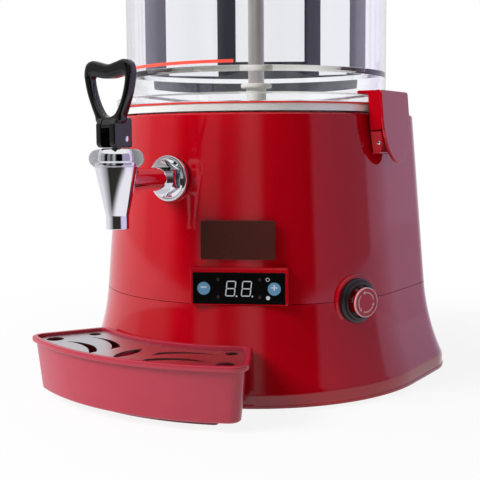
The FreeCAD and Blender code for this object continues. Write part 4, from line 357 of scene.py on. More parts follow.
# %% [markdown]
# ## Mesh tools
# Most outer pieces are skins stretched over a row of rings: circles for turned pieces, the
# D-shaped plan for the housing, a ring sector for the tray. Boxes with bevels and Booleans could
# make the same shapes, but their faces end up uneven and ripple in a gloss. All rings of a piece
# have the same number of points, so each pair is joined by a band of four-sided faces.

# %% Outlines and circles
TURN_STEPS = 180


def rounded(corners, steps=4):
    """An outline's corners (a, b) or (a, b, radius), with the round ones turned into arcs."""
    points = []
    for index, corner in enumerate(corners):
        here = Vector(corner[:2])
        if len(corner) < 3:
            points.append(tuple(here))
            continue
        back = (Vector(corners[index - 1][:2]) - here).normalized()
        ahead = (Vector(corners[(index + 1) % len(corners)][:2]) - here).normalized()
        half = back.angle(ahead) / 2
        centre = here + (back + ahead).normalized() * corner[2] / math.sin(half)
        first = here + back * corner[2] / math.tan(half) - centre
        last = here + ahead * corner[2] / math.tan(half) - centre
        # slerp turns a direction into another and gives it length 1, so the radius comes after.
        points += [tuple(centre + first.slerp(last, i / steps) * corner[2]) for i in range(steps + 1)]
    return points


def circle(radius, z, x=0.0, y=0.0, steps=TURN_STEPS):
    """A level circle as points of the machine."""
    turns = [2 * math.pi * i / steps for i in range(steps)]
    return [(x + radius * math.sin(t), y - radius * math.cos(t), z) for t in turns]


print("points of one round corner:", len(rounded([(0, 0), (1, 0, 0.1), (1, 1)])) - 2)

# %% [markdown]
# From above the housing is a D with a round front, two straight sides, round rear corners and a
# bowed rear. Each place on it is stored as a base point and a direction, so the same plan serves
# every level: a wall just stands further out along its directions.

# %% The housing's plan
FRONT_STEP = 2          # degrees between places of the plan's round front
SIDE_STEPS = 8
CORNER_STEPS = 12
REAR_STEPS = 24
CORNER_ANGLE = math.atan2(CORNER_Y, CORNER_X)
CORNER_DISTANCE = math.hypot(CORNER_X, CORNER_Y)


def plan_places():
    """Places round the D-shaped plan: a wall stands at base + direction * offset."""
    right = [((0, 0), math.radians(bearing - 90)) for bearing in range(0, 90, FRONT_STEP)]
    right += [((0, CORNER_Y * i / SIDE_STEPS), 0.0) for i in range(SIDE_STEPS)]
    right += [("corner", CORNER_ANGLE * i / CORNER_STEPS) for i in range(CORNER_STEPS)]
    rear_turn = math.pi / 2 - CORNER_ANGLE
    rear = [("rear", CORNER_ANGLE + rear_turn * i / REAR_STEPS) for i in range(REAR_STEPS + 1)]
    places = []
    for base, angle in right + rear:
        out = Vector((math.cos(angle), math.sin(angle)))
        if base == "corner":
            base = Vector((CORNER_X, CORNER_Y)) - out * CORNER_X
        if base == "rear":
            base = out * (CORNER_DISTANCE - CORNER_X)
        places.append((Vector(base), out))
    mirrored = [(Vector((-b.x, b.y)), Vector((-o.x, o.y))) for b, o in reversed(places[1:-1])]
    return places + mirrored


PLAN = plan_places()


def plan(offset, z):
    """The housing's plan at that offset, as a ring."""
    return [(base.x + out.x * offset, base.y + out.y * offset, z) for base, out in PLAN]


def plan_circle(radius, z):
    """A circle with one point for each place of the plan."""
    ring = []
    for x, y, _ in plan(RIM_RADIUS, z):
        reach = math.hypot(x, y)
        ring.append((x * radius / reach, y * radius / reach, z))
    return ring


print("plan places:", len(PLAN))

# %% [markdown]
# Every ring is first drawn level round the upright axis. Two functions then lay it on its side
# for the tap and the switch, and carry it round the machine to its bearing.


# %% Turning points
def facing_front(points, z):
    """Turns a turned piece's upright axis to point at the front, at height z."""
    return [(x, -up, z + y) for x, y, up in points]


def turned_to(points, bearing):
    """Carries points from the front to a bearing."""
    sine, cosine = math.sin(math.radians(bearing)), math.cos(math.radians(bearing))
    return [(x * cosine - y * sine, x * sine + y * cosine, z) for x, y, z in points]


print("the front, turned by 90 degrees:", [round(v, 3) for v in turned_to([(0, -1, 0)], 90)[0]])

# %% [markdown]
# Every piece is made by one function, so each gets clean normals, a crease at its sharp edges, its
# finish, the body that carries it and the CAD nodes that it stands in for. The Weighted Normal
# modifier keeps the shading of flat faces flat beside narrow round edges. Without it the clear
# tank would bend light across its whole wall.


# %% Adding a piece
CREASE = 32.0           # degrees between faces that meet at a sharp edge


def add_piece(name, points, faces, finish, body, covers=(), sharp=CREASE):
    """Makes a piece of the object from points in millimetres, and hangs it on its body."""
    mesh = bpy.data.meshes.new(name)
    mesh.from_pydata([at(*p) for p in points], [], faces)
    shape = bmesh.new()
    shape.from_mesh(mesh)
    bmesh.ops.remove_doubles(shape, verts=shape.verts, dist=1e-6)
    bmesh.ops.recalc_face_normals(shape, faces=shape.faces)
    shape.to_mesh(mesh)
    shape.free()
    mesh.shade_smooth()
    mesh.set_sharp_from_angle(angle=math.radians(sharp))
    mesh.materials.append(finish)
    piece = bpy.data.objects.new(name, mesh)
    bpy.context.scene.collection.objects.link(piece)
    piece.modifiers.new("flat faces stay flat", "WEIGHTED_NORMAL").keep_sharp = True
    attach(piece, body)
    if covers:
        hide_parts(*covers)
    return piece


print("crease:", CREASE, "degrees")

# %% [markdown]
# A turned piece starts as an outline of radius and height, as a lathe operator reads a drawing.
# Each of its points becomes a circle, and the bands between the circles are the surface.


# %% Skins
def band_faces(count, around, closed):
    """Four-sided faces between successive rings of around points."""
    faces = []
    for ring in range(count if closed else count - 1):
        low, high = ring * around, (ring + 1) % count * around
        for i in range(around):
            after = (i + 1) % around
            faces.append((low + i, low + after, high + after, high + i))
    return faces


def skin(name, rings, finish, body, covers=(), closed=True, sharp=CREASE):
    """A piece stretched over rings; closed joins the last ring to the first."""
    points = [p for ring in rings for p in ring]
    faces = band_faces(len(rings), len(rings[0]), closed)
    return add_piece(name, points, faces, finish, body, covers, sharp)


def lathe(outline, x=0.0, y=0.0, steps=TURN_STEPS):
    """Rings of a turned piece from its outline of (radius, height)."""
    return [circle(max(radius, 0.0), z, x, y, steps) for radius, z in outline]


def turned_front(outline, z, bearing=0.0, x=0.0, steps=TURN_STEPS):
    """Rings of a turned piece on a level axis, from (radius, distance in front)."""
    rings = [facing_front(circle(radius, out, x, 0.0, steps), z) for radius, out in outline]
    return [turned_to(ring, bearing) for ring in rings]


print("faces of a closed skin of 4 rings:", len(band_faces(4, TURN_STEPS, True)))

# %% [markdown]
# Flat pieces with a free outline, such as a plate or a key, are slabs: the outline is set back
# step by step towards the face, so that the edge is round and catches a line of light. A Bevel
# modifier would do the same, but it lets thin edges cross each other without a word.


# %% Slabs
EDGE_STEPS = 4          # faces across a round edge
THINNEST_TURN = 0.4     # keeps a sharp corner of an outline from being drawn in too far


def shrunk(outline, amount):
    """An anticlockwise outline moved inwards by an amount."""
    moved = []
    for index, point in enumerate(outline):
        before = (Vector(point) - Vector(outline[index - 1])).normalized()
        after = (Vector(outline[(index + 1) % len(outline)]) - Vector(point)).normalized()
        along = (before + after).normalized()
        reach = amount / max(along.dot(after), THINNEST_TURN)
        moved.append((point[0] - along.y * reach, point[1] + along.x * reach))
    return moved


def box_outline(low_a, high_a, low_b, high_b, bend, steps=5):
    """A rectangle with round corners, anticlockwise."""
    corners = [(low_a, low_b), (high_a, low_b), (high_a, high_b), (low_a, high_b)]
    return rounded([(a, b, bend) for a, b in corners], steps)


def end_caps(total, around):
    """The first and the last ring of a piece as one face each."""
    return [tuple(range(around)), tuple(range(total - around, total))]


def slab(name, outline, back, front, edge, place, finish, body, slot, covers=(), both=False):
    """A plate between two depths with its front edge rounded, or both edges."""
    turns = [math.pi / 2 * i / EDGE_STEPS for i in range(EDGE_STEPS + 1)]
    levels = [(edge * (1 - math.cos(t)), front - edge + edge * math.sin(t)) for t in turns]
    if both:
        levels = [(inset, back + front - depth) for inset, depth in reversed(levels)] + levels
    else:
        levels = [(0.0, back)] + levels
    points = [place(a, b, depth) for inset, depth in levels for a, b in shrunk(outline, inset)]
    faces = band_faces(len(levels), len(outline), False) + end_caps(len(points), len(outline))
    return add_piece(name, points, faces, finish, body, covers)


def strip(name, rings, finish, body, covers=()):
    """A bar swept through rings, closed at both ends."""
    points = [p for ring in rings for p in ring]
    faces = band_faces(len(rings), len(rings[0]), False) + end_caps(len(points), len(rings[0]))
    return add_piece(name, points, faces, finish, body, covers)


def facing(bearing, z=0.0, lean=0.0, radius=0.0):
    """Places (sideways, up, out) on a face that looks to a bearing and leans back upwards."""
    def place(a, b, out):
        reach = radius + out * math.cos(lean) - b * math.sin(lean)
        return turned_to([(a, -reach, z + b * math.cos(lean) + out * math.sin(lean))], bearing)[0]
    return place


print("points of a round-cornered box:", len(box_outline(-1.0, 1.0, -1.0, 1.0, 0.2)))

# %% [markdown]
# ## Housing
# The upper shell is one moulding: a wall that follows the D-shaped plan and leans out as it
# goes down, a rounded top edge, and a flat deck with a round hole for the pan. It could be cut
# from a solid, but a skin over plan rings gives even faces, so its highlights run clean.

# %% Upper housing
EDGE_ROUND = 2.5
DECK_EDGE_STEPS = 6
SEAM_GAP = 0.4
HOLE_RADIUS = 105.5
seam_top = SEAM_Z + SEAM_GAP / 2
deck_under = HOUSING_TOP - SHELL
wall_outline = rounded([
    (housing_radius(seam_top), seam_top), (RIM_RADIUS, HOUSING_TOP, EDGE_ROUND),
    (RIM_RADIUS - 2 * EDGE_ROUND, HOUSING_TOP)], DECK_EDGE_STEPS)[:-1]
housing_rings = [plan(offset, z) for offset, z in wall_outline]
housing_rings += [plan_circle(HOLE_RADIUS, HOUSING_TOP), plan_circle(HOLE_RADIUS, deck_under)]
housing_rings += [plan(housing_radius(deck_under) - SHELL, deck_under),
                  plan(housing_radius(seam_top) - SHELL, seam_top)]
housing = skin("housing_shell", housing_rings, red_gloss_abs, "machine", ["upper_housing"])
print("housing faces:", len(housing.data.polygons))

# %% [markdown]
# The skirt flares out like a bell to a short upright band with a bead at its foot. A thin gap
# parts it from the upper shell. The flare could be a hand-drawn curve, but one arc that leaves the
# seam along the housing's lean has no kink there, so the long reflections run through.

# %% Base skirt
BEAD_OUT = 0.8          # how far the bead stands out from the band
FLARE_OUT = BAND_RADIUS - SEAM_RADIUS
skirt_top = SEAM_Z - SEAM_GAP / 2
flare_height = skirt_top - BAND_HEIGHT
lean = math.atan(TAPER)
flare_radius = (FLARE_OUT ** 2 + flare_height ** 2) / (
    2 * (FLARE_OUT * math.cos(lean) - flare_height * math.sin(lean)))
flare_x = SEAM_RADIUS + flare_radius * math.cos(lean)
flare_z = skirt_top + flare_radius * math.sin(lean)


def skirt_radius(z):
    """Plan offset of the skirt's hollow flare."""
    return flare_x - math.sqrt(flare_radius ** 2 - (z - flare_z) ** 2)


FLARE_STEPS = 20
flare = [skirt_top - flare_height * i / FLARE_STEPS for i in range(FLARE_STEPS + 1)]
skirt_outline = [(SEAM_RADIUS - SHELL, skirt_top)]
skirt_outline += [(skirt_radius(z), z) for z in flare]
skirt_outline += [(BAND_RADIUS, 3.0), (BAND_RADIUS + 0.55, 2.5), (BAND_RADIUS + BEAD_OUT, 2.0),
                  (BAND_RADIUS + BEAD_OUT, 0.8), (BAND_RADIUS + 0.5, 0.2), (BAND_RADIUS, 0.0),
                  (BAND_RADIUS - SHELL, 0.0)]
skirt_outline += [(skirt_radius(z) - SHELL, z) for z in reversed(flare[1:])]
skin("skirt_shell", [plan(offset, z) for offset, z in skirt_outline], red_gloss_abs, "machine",
     ["base_skirt"])
print("skirt foot radius:", round(max(offset for offset, _ in skirt_outline), 2))

# %% [markdown]
# ## Rim, gasket and tank
# The pan is drawn from sheet steel, and its rolled rim is the bright band on top of the
# housing. A flat sheet with a thickness modifier could make it too, but the rim needs its own
# small rounds, so one outline is turned about the axis.

# %% Heating pan
SHEET = 1.0
SHEET_BEND = 8.0        # outside radius of the bend between floor and wall
SHAFT_HOLE = 5.0
rim_foot = PAN_RIM_Z - 5.2
pan_outline = rounded([
    (SHAFT_HOLE, PAN_FLOOR - SHEET), (PAN_RADIUS, PAN_FLOOR - SHEET, SHEET_BEND),
    (PAN_RADIUS, PAN_RIM_Z - SHEET), (RIM_RADIUS - SHEET, PAN_RIM_Z - SHEET), (RIM_RADIUS - SHEET, rim_foot),
    (RIM_RADIUS, rim_foot), (RIM_RADIUS, PAN_RIM_Z, 1.2), (PAN_RADIUS - SHEET, PAN_RIM_Z, 0.8),
    (PAN_RADIUS - SHEET, PAN_FLOOR, SHEET_BEND - SHEET), (SHAFT_HOLE, PAN_FLOOR)])
skin("pan_drawn", lathe(pan_outline), satin_stainless, "machine", ["heating_pan"])
print("pan depth:", PAN_RIM_Z - PAN_FLOOR)

# %% [markdown]
# A red silicone ring seals the pan against the tank. It is a plain turned ring, and shows as one
# bright line. The tank's thick foot would spread that red all over its inside, so rays through
# clear plastic and reflections pass the ring by.

# %% Gasket
gasket_inner, gasket_outer = PAN_RADIUS + 1, RIM_RADIUS + 0.8
gasket_outline = rounded([
    (gasket_inner, PAN_RIM_Z), (gasket_outer, PAN_RIM_Z, 0.4), (gasket_outer, TANK_Z, 0.4),
    (gasket_inner, TANK_Z)])
gasket = skin("gasket_ring", lathe(gasket_outline), red_silicone, "machine",
              ["pan_gasket"])
gasket.visible_transmission = False
gasket.visible_glossy = False
print("gasket thickness:", round(TANK_Z - PAN_RIM_Z, 2))

# %% [markdown]
# The tank is a thick-walled clear moulding with a flange at its foot and a chamfered shoulder
# inside. A single thin surface would look like a soap film, so both faces of the wall are there,
# and light bends twice. It has more steps round than other pieces, because refraction shows every
# facet. Clear plastic casts hardly any shadow, but the renderer would give it a dark one, so it
# casts none.

# %% Tank
TANK_STEPS = 256
TANK_CREASE = 40.0
SHOULDER_Z = TANK_Z + 25.8
tank_outline = rounded([
    (PAN_RADIUS, TANK_Z), (FLANGE_RADIUS, TANK_Z, 0.6), (FLANGE_RADIUS, FLANGE_TOP, 0.8),
    (TANK_RADIUS, FLANGE_TOP, 1.2), (TANK_RADIUS, TANK_TOP, 0.6),
    (TANK_RADIUS - TANK_WALL, TANK_TOP, 0.6), (TANK_RADIUS - TANK_WALL, SHOULDER_Z, 0.5),
    (PAN_RADIUS + 0.8, SHOULDER_Z - 4.0, 0.5)])
tank = skin("tank_clear", lathe(tank_outline, steps=TANK_STEPS), clear_pc, "machine",
            ["tank"], sharp=TANK_CREASE)
tank.visible_shadow = False
print("tank faces:", len(tank.data.polygons))

# %% [markdown]
# ## Drip tray
# The tray's plan is a ring sector with rounded corners. Its walls draw in towards the foot, a
# rounded rim runs round the top, and a ledge inside carries the steel grid. Scaling one outline
# would make the walls lean unevenly, so each level works out its own sector, with its walls drawn
# in by a set distance.

# %% Tray outline
TRAY_HALF = math.radians(30.5)
TRAY_TOP = 43.0
TRAY_REAR = skirt_radius(TRAY_TOP - 4.0) + 2.2
TRAY_FRONT = TRAY_REAR + 62.0
ARC_STEPS = 36
BEND_STEPS = 8
FRONT_BEND = 11.0
REAR_BEND = 6.0


def tray_corner(z, radius, size, inset, inner):
    """A round corner of the tray: the bearing where the long arc meets it, and its points."""
    centre = radius + size if inner else radius - size
    bearing = TRAY_HALF - math.asin((inset + size) / centre)
    x, y = centre * math.sin(bearing), -centre * math.cos(bearing)
    first, last = bearing - math.pi / 2, TRAY_HALF
    if inner:
        first, last = TRAY_HALF, bearing + math.pi / 2
    turns = [first + (last - first) * (i / BEND_STEPS) for i in range(BEND_STEPS + 1)]
    return bearing, [(x + size * math.cos(t), y + size * math.sin(t), z) for t in turns]


def tray_ring(z, inner, outer, inset, bend_in, bend_out):
    """Ring sector between two radii, its sides drawn in by inset and its corners rounded."""
    outer_bearing, outer_corner = tray_corner(z, outer, bend_out, inset, False)
    inner_bearing, inner_corner = tray_corner(z, inner, bend_in, inset, True)
    right = [(outer * math.sin(outer_bearing * i / ARC_STEPS),
              -outer * math.cos(outer_bearing * i / ARC_STEPS), z) for i in range(ARC_STEPS)]
    right += outer_corner + inner_corner
    right += [(inner * math.sin(inner_bearing * i / ARC_STEPS),
               -inner * math.cos(inner_bearing * i / ARC_STEPS), z) for i in range(ARC_STEPS - 1, -1, -1)]
    left = [(-x, y, z) for x, y, z in reversed(right[1:-1])]
    return right + left


def tray_level(z, margin, lean_rear=0.0, lean_out=0.0):
    """The tray's outline drawn in by a margin and by the lean of its walls."""
    return tray_ring(z, TRAY_REAR + margin + lean_rear, TRAY_FRONT - margin - lean_out,
                     margin + lean_out, max(REAR_BEND - margin / 2, 1.5), max(FRONT_BEND - margin, 3.0))


print("tray radii:", round(TRAY_REAR, 1), round(TRAY_FRONT, 1))

# %% [markdown]
# The rings run from the middle of the underside, down and up again round the foot ring, up the
# leaning wall, over the rim, down inside past the ledge, and end in the middle of the floor.

# %% Drip tray
TRAY_FOOT = 4.0         # underside of the floor
FOOT_RING_LOW = -2.2
FOOT_RING = (21.5, 19.0)            # how far in its two faces stand
WALL_IN = 3.0           # outside of the wall, in from the rim
RIM_HEIGHT = 4.0
GRID_DROP = 2.3         # the grid's top below the rim
GRID_SHEET = 1.2
WALL_STEPS = 10
OUT_LEAN = 3.0
REAR_LEAN = BAND_RADIUS + BEAD_OUT + 2.0 - TRAY_REAR - WALL_IN
tray_middle = (0.0, -(TRAY_REAR + TRAY_FRONT) / 2)
rim_low = TRAY_TOP - RIM_HEIGHT
floor_top = TRAY_FOOT + 2.5
ledge = TRAY_TOP - GRID_DROP - GRID_SHEET


def tray_centre(z):
    """All points of a ring in one place, which closes the floor."""
    return [(tray_middle[0], tray_middle[1] - 3.0, z)] * len(tray_level(0, 0))


def leaning_level(z, margin, share=1.0):
    """A level whose walls have leaned in by a share of the whole lean."""
    return tray_level(z, margin, REAR_LEAN * share, OUT_LEAN * share)


tray_rings = [tray_centre(TRAY_FOOT), leaning_level(TRAY_FOOT, FOOT_RING[0]),
              leaning_level(FOOT_RING_LOW, FOOT_RING[0]), leaning_level(FOOT_RING_LOW, FOOT_RING[1]),
              leaning_level(TRAY_FOOT, FOOT_RING[1]), leaning_level(TRAY_FOOT, WALL_IN + 0.8),
              leaning_level(TRAY_FOOT + 0.8, WALL_IN)]
tray_rings += [leaning_level(TRAY_FOOT + (rim_low - TRAY_FOOT) * i / WALL_STEPS, WALL_IN, 1 - i / WALL_STEPS)
               for i in range(1, WALL_STEPS + 1)]
rim_side = rounded([(WALL_IN, rim_low), (0.0, rim_low, 1.2), (0.0, TRAY_TOP, 1.2), (4.0, TRAY_TOP, 0.5),
                    (4.0, ledge), (7.0, ledge)])
tray_rings += [tray_level(z, margin) for margin, z in rim_side[1:]]
tray_rings += [leaning_level(floor_top + 1.5, 7.0), leaning_level(floor_top, 8.5), tray_centre(floor_top)]
# The tray's paler red holds a painted reflection of the floor.
skin("tray_shell", tray_rings, red_satin_abs_painted_reflection, "tray", ["drip_tray"], closed=False)
frame["nodes"]["drip_grid"].material_slots[0].material = brushed_stainless
print("tray height:", TRAY_TOP - FOOT_RING_LOW)

# %% [markdown]
# ## Tap
# A turned brass body, polished and chrome plated: a cone that narrows to the spout, the pipe
# that carries it, and a domed cover disc behind the nut. Cone, pipe and disc are round, so each
# is an outline turned about its own axis, and the small rounds at its edges catch the light.

# %% Tap body and cover disc
CONE_RADIUS, CONE_TOP = 14.65, 169.0
SPOUT_RADIUS, SPOUT_LOW = 7.75, 127.0
BORE_RADIUS = 5.2
cone_outline = rounded([
    (0.0, 140.0), (BORE_RADIUS, 140.0), (BORE_RADIUS, SPOUT_LOW, 0.3), (SPOUT_RADIUS, SPOUT_LOW, 0.6),
    (SPOUT_RADIUS, SPOUT_LOW + 9.0, 3.0), (CONE_RADIUS, CONE_TOP, 0.4), (0.0, CONE_TOP)])
skin("tap_cone", lathe(cone_outline, 0.0, -TAP_REACH), polished_chrome, "machine",
     ["tap_body"], closed=False)
PIPE_RADIUS = 8.35
pipe = [(PIPE_RADIUS, 80.0), (PIPE_RADIUS, TAP_REACH - 9.0)]
skin("tap_pipe", turned_front(pipe, PIPE_Z), polished_chrome, "machine", closed=False)
COVER_DEPTH = 4.0
cover_back = housing_radius(PIPE_Z - 16.5) + 0.3
cover_dome = cover_back + COVER_DEPTH
cover_outline = rounded([
    (PIPE_RADIUS, cover_back), (16.5, cover_back, 0.4), (16.5, cover_back + 3.3, 0.7),
    (14.6, cover_back + 3.3, 0.4), (14.1, cover_back + 2.4, 0.6), (11.5, cover_dome, 3.0),
    (PIPE_RADIUS, cover_dome)])
skin("tap_cover_disc", turned_front(cover_outline, PIPE_Z), polished_chrome, "machine",
     ["escutcheon"])
print("spout height:", SPOUT_LOW)

# %% [markdown]
# The bonnet is the screwed cap of the tap: a low dome on a flange, with two round wings for the
# fingers. The dome is turned. The wings are flat, so they are slabs, and they overlap the dome a
# little, because a cast join is too small to see.

# %% Bonnet and wings
BONNET_Z = CONE_TOP
WING_BEARING = 30.0
WING_DEPTH = 2.6        # half its thickness
bonnet_outline = rounded([
    (3.2, BONNET_Z - 3), (10.0, BONNET_Z - 3), (10.0, BONNET_Z), (CONE_RADIUS, BONNET_Z, 0.4),
    (CONE_RADIUS, BONNET_Z + 2.6, 0.8), (13.2, BONNET_Z + 3.4, 0.5), (12.8, BONNET_Z + 8.5, 4.0),
    (10.0, BONNET_Z + 12.0, 3.0), (3.2, BONNET_Z + 12.0)], 6)
skin("tap_bonnet_cap", lathe(bonnet_outline, 0.0, -TAP_REACH), polished_chrome, "machine",
     ["tap_bonnet"])


def wing_place(side):
    """Places (along the wing, up, through it) beside the bonnet."""
    cosine, sine = math.cos(math.radians(WING_BEARING)), math.sin(math.radians(WING_BEARING))

    def place(a, b, out):
        along = side * a
        return (along * cosine + out * sine, along * sine - out * cosine - TAP_REACH, BONNET_Z + b)
    return place


WING_ROUND = 6.3
WING_RISE = 5.2         # middle of the wing above the bonnet's foot
wing_turns = [math.radians(a) for a in range(-110, 111, 10)]
wing_outline = [(12.2 + WING_ROUND * math.cos(t), WING_RISE + WING_ROUND * math.sin(t)) for t in wing_turns]
wing_outline += [(8.0, WING_RISE + WING_ROUND * 0.8), (8.0, WING_RISE - WING_ROUND * 0.95)]
for side, side_name in ((1, "right"), (-1, "left")):
    slab("tap_wing_" + side_name, wing_outline, -WING_DEPTH, WING_DEPTH, 0.9, wing_place(side),
         tumbled_chrome, "machine", "chrome", ["tap_bonnet"], both=True)
print("wing outline points:", len(wing_outline))

# %% [markdown]
# ## Lever
# The black lever is one polished moulding: two cheeks over the valve stem, a bridge that joins
# them, and a heart-shaped loop for the fingers. Black gloss shows its shape only by reflections,
# so the edges matter most. Cheeks and bridge are slabs, whose rounded edges show as thin pale
# lines.


# %% Lever block
def across(side):
    """Places (depth, up, sideways) of the lever's cheeks."""
    def place(a, b, out):
        return (side * out, a - TAP_REACH, b)
    return place


LEVER_LOW, LEVER_HIGH = 181.3, 201.0
BRIDGE_LOW, BRIDGE_HIGH = 194.3, LEVER_HIGH - 0.1
CHEEK_INNER, CHEEK_OUTER = 4.0, 8.15
cheek_outline = rounded([
    (-11.0, LEVER_LOW, 3.2), (7.3, LEVER_LOW, 1.6), (7.3, LEVER_HIGH, 1.4), (-8.4, LEVER_HIGH, 2.0),
    (-11.0, LEVER_HIGH - 4.5, 2.0)], 5)
for side, side_name in ((1, "right"), (-1, "left")):
    slab("lever_cheek_" + side_name, cheek_outline, CHEEK_INNER, CHEEK_OUTER, 1.1, across(side),
         black_gloss_abs, "lever", "black_abs", ["tap_lever"])
bridge_outline = rounded([
    (-10.6, BRIDGE_LOW, 0.6), (7.2, BRIDGE_LOW), (7.2, BRIDGE_HIGH), (-8.0, BRIDGE_HIGH, 2.0),
    (-10.6, LEVER_HIGH - 5.0, 1.5)], 5)
slab("lever_bridge", bridge_outline, -CHEEK_INNER - 0.2, CHEEK_INNER + 0.2, 0.05, across(1),
     black_gloss_abs, "lever", "black_abs", ["tap_lever"], both=True)
print("lever block:", 2 * CHEEK_OUTER, "wide", round(LEVER_HIGH - LEVER_LOW, 1), "high")

# %% [markdown]
# The loop is heart-shaped: narrow at the block, wide at the top. A curve object with a bevel
# would give a round bar of one thickness, but this bar is flat and swells towards the top. So two
# smooth outlines, the outer and the inner, are drawn through a few points, and the bar's round
# section is stretched between them. The pin's domed head shows on the cheek.


# %% Lever loop
def smooth(points, steps):
    """A closed smooth (Catmull-Rom) curve through points, with steps points for each of them."""
    curve = []
    count = len(points)
    for i in range(count):
        p0, p1, p2, p3 = (Vector(points[(i + k) % count]) for k in (-1, 0, 1, 2))
        for j in range(steps):
            t = j / steps
            curve.append(tuple(0.5 * (2 * p1 + (p2 - p0) * t + (2 * p0 - 5 * p1 + 4 * p2 - p3) * t * t
                                      + (3 * p1 - p0 - 3 * p2 + p3) * t ** 3)))
    return curve


def heart(right):
    """A closed outline from its right half, which starts and ends on the middle line."""
    return smooth(right + [(-x, z) for x, z in reversed(right[1:-1])], 6)


loop_outer = heart([(0.0, 196.5), (9.8, 197.5), (11.6, 202.0), (14.6, 209.0), (17.4, 216.5),
                    (19.3, 224.0), (20.1, 230.5), (18.4, 236.2), (13.4, 238.4), (6.8, 237.0), (0.0, 235.6)])
loop_inner = heart([(0.0, 201.4), (4.6, 202.8), (7.6, 206.0), (10.6, 211.2), (13.0, 217.5),
                    (14.5, 223.5), (14.7, 226.6), (13.2, 227.8), (9.0, 227.3), (4.6, 226.5), (0.0, 226.2)])
LOOP_FRONT, LOOP_BACK = 8.6, 0.4
BAR_WIDTH, BAR_BEND = 5.0, 2.0
LOOP_CREASE = 60.0
bar_section = rounded([(0.0, LOOP_BACK, BAR_BEND), (BAR_WIDTH, LOOP_BACK, BAR_BEND),
                       (BAR_WIDTH, LOOP_FRONT, BAR_BEND), (0.0, LOOP_FRONT, BAR_BEND)])
loop_rings = []
for inwards, ahead in bar_section:
    share = inwards / BAR_WIDTH
    loop_rings.append([(ox + (ix - ox) * share, -TAP_REACH - ahead, oz + (iz - oz) * share)
                       for (ox, oz), (ix, iz) in zip(loop_outer, loop_inner)])
skin("lever_loop", loop_rings, black_gloss_abs, "lever", ["tap_lever"], sharp=LOOP_CREASE)

LEVER_PIN_BACK, LEVER_PIN_Z = 2.0, 187.0        # its axis, behind the tap's axis
PIN_STEPS = 24
pin_outline = [(2.0, -8.1), (2.0, 8.1), (1.7, 8.25), (0.9, 8.3), (0.0, 8.3)]
pin_turns = [math.tau * i / PIN_STEPS for i in range(PIN_STEPS)]
pin_rings = []
for radius, x in pin_outline:
    pin_rings.append([(x, radius * math.cos(t) - TAP_REACH + LEVER_PIN_BACK,
                       radius * math.sin(t) + LEVER_PIN_Z) for t in pin_turns])
skin("lever_pin_head", pin_rings, polished_chrome, "lever", ["lever_pin"], closed=False)
print("loop outline points:", len(loop_outer))

# %% [markdown]
# ## Latches
# Each side latch is a red hook: a tongue with a rounded end, a wall along its edge, and a lip
# over the tank's flange. It turns on a steel pin between two lugs on the housing. The
# pieces are drawn flat, as if the latch lay on a bench, and one function stands them up beside the
# machine along the housing's lean. So both latches share all their numbers.


# %% Latch places
PIN_Z = 183.0
PIN_OFF = 5.8           # the pin's axis stands off the housing
LEAN = math.atan(TAPER)
PIN_RADIUS = housing_radius(PIN_Z) + PIN_OFF * math.cos(LEAN)


def beside(side):
    """Places (along the machine, up, out) of a latch about its pin."""
    def place(a, b, out):
        x = PIN_RADIUS + out * math.cos(LEAN) - b * math.sin(LEAN)
        return (side * x, a, PIN_Z + PIN_OFF * math.sin(LEAN) + b * math.cos(LEAN) + out * math.sin(LEAN))
    return place


print("latch pin stands", round(PIN_RADIUS, 2), "from the middle")

# %% [markdown]
# The tongue ends below in half an ellipse, the lip follows the tank's round, and the lug is a
# small wedge. Curves are worked out from their formula, so no point has to be placed by eye.

# %% Latch outlines
LATCH_HALF, LATCH_TOP = 24.5, 222.0
TONGUE_BEND = 19.6      # height above the pin where the sides turn into the rounded end
TONGUE_ROUND = 35.0     # height of that end, half an ellipse
TONGUE_TOP = 38.2
TONGUE_DEPTH = (3.6, 6.0)
LIP_INNER, LIP_OUTER = 106.0, 116.5
LIP_LOW = 219.3
LIP_TURN = 13.3         # half the lip's bearing
LIP_STEPS = 12

tongue_outline = [(LATCH_HALF * math.sin(math.radians(turn)),
                   TONGUE_BEND - TONGUE_ROUND * math.cos(math.radians(turn))) for turn in range(-90, 91, 5)]
tongue_outline += rounded([
    (-LATCH_HALF, TONGUE_BEND), (LATCH_HALF, TONGUE_BEND), (LATCH_HALF, TONGUE_TOP, 2.5),
    (-LATCH_HALF, TONGUE_TOP, 2.5)], 5)[2:]
lip_turns = [math.radians(-LIP_TURN + 2 * LIP_TURN * i / LIP_STEPS) for i in range(LIP_STEPS + 1)]
lip_outline = [(LIP_INNER * math.sin(t), LIP_INNER * math.cos(t)) for t in lip_turns]
lip_outline += [(LATCH_HALF, LIP_OUTER), (-LATCH_HALF, LIP_OUTER)]
lug_outline = rounded([(-5.6, -7.7, 0.4), (0.3, -7.7, 1.5), (3.2, 0.0, 1.0), (3.2, 8.2, 0.6),
                       (-5.6, 9.1, 0.4)])
print("tongue outline points:", len(tongue_outline))

# %% [markdown]
# The lugs lean outwards a little with the latch's walls, and the pin runs through all four. The
# left latch stands behind the tank as the camera sees it. Rays through clear plastic pass it by,
# because the thick foot would smear its red over the whole flange.


# %% Latches
WALL_THICK = 2.5
WALL_DEPTH = (-4.9, 3.7)
WALL_LOW, WALL_HIGH = 9.5, 38.4
UPRIGHT_STEPS = 14
LUG_INNER, LUG_OUTER = 9.0, 22.6
LUG_LEAN = 0.1
LATCH_PIN_STEPS = 20
LATCH_PIN_OUTLINE = [(0.0, -23.6), (1.0, -23.5), (1.5, -22.9), (1.5, 22.9), (1.0, 23.5), (0.0, 23.6)]


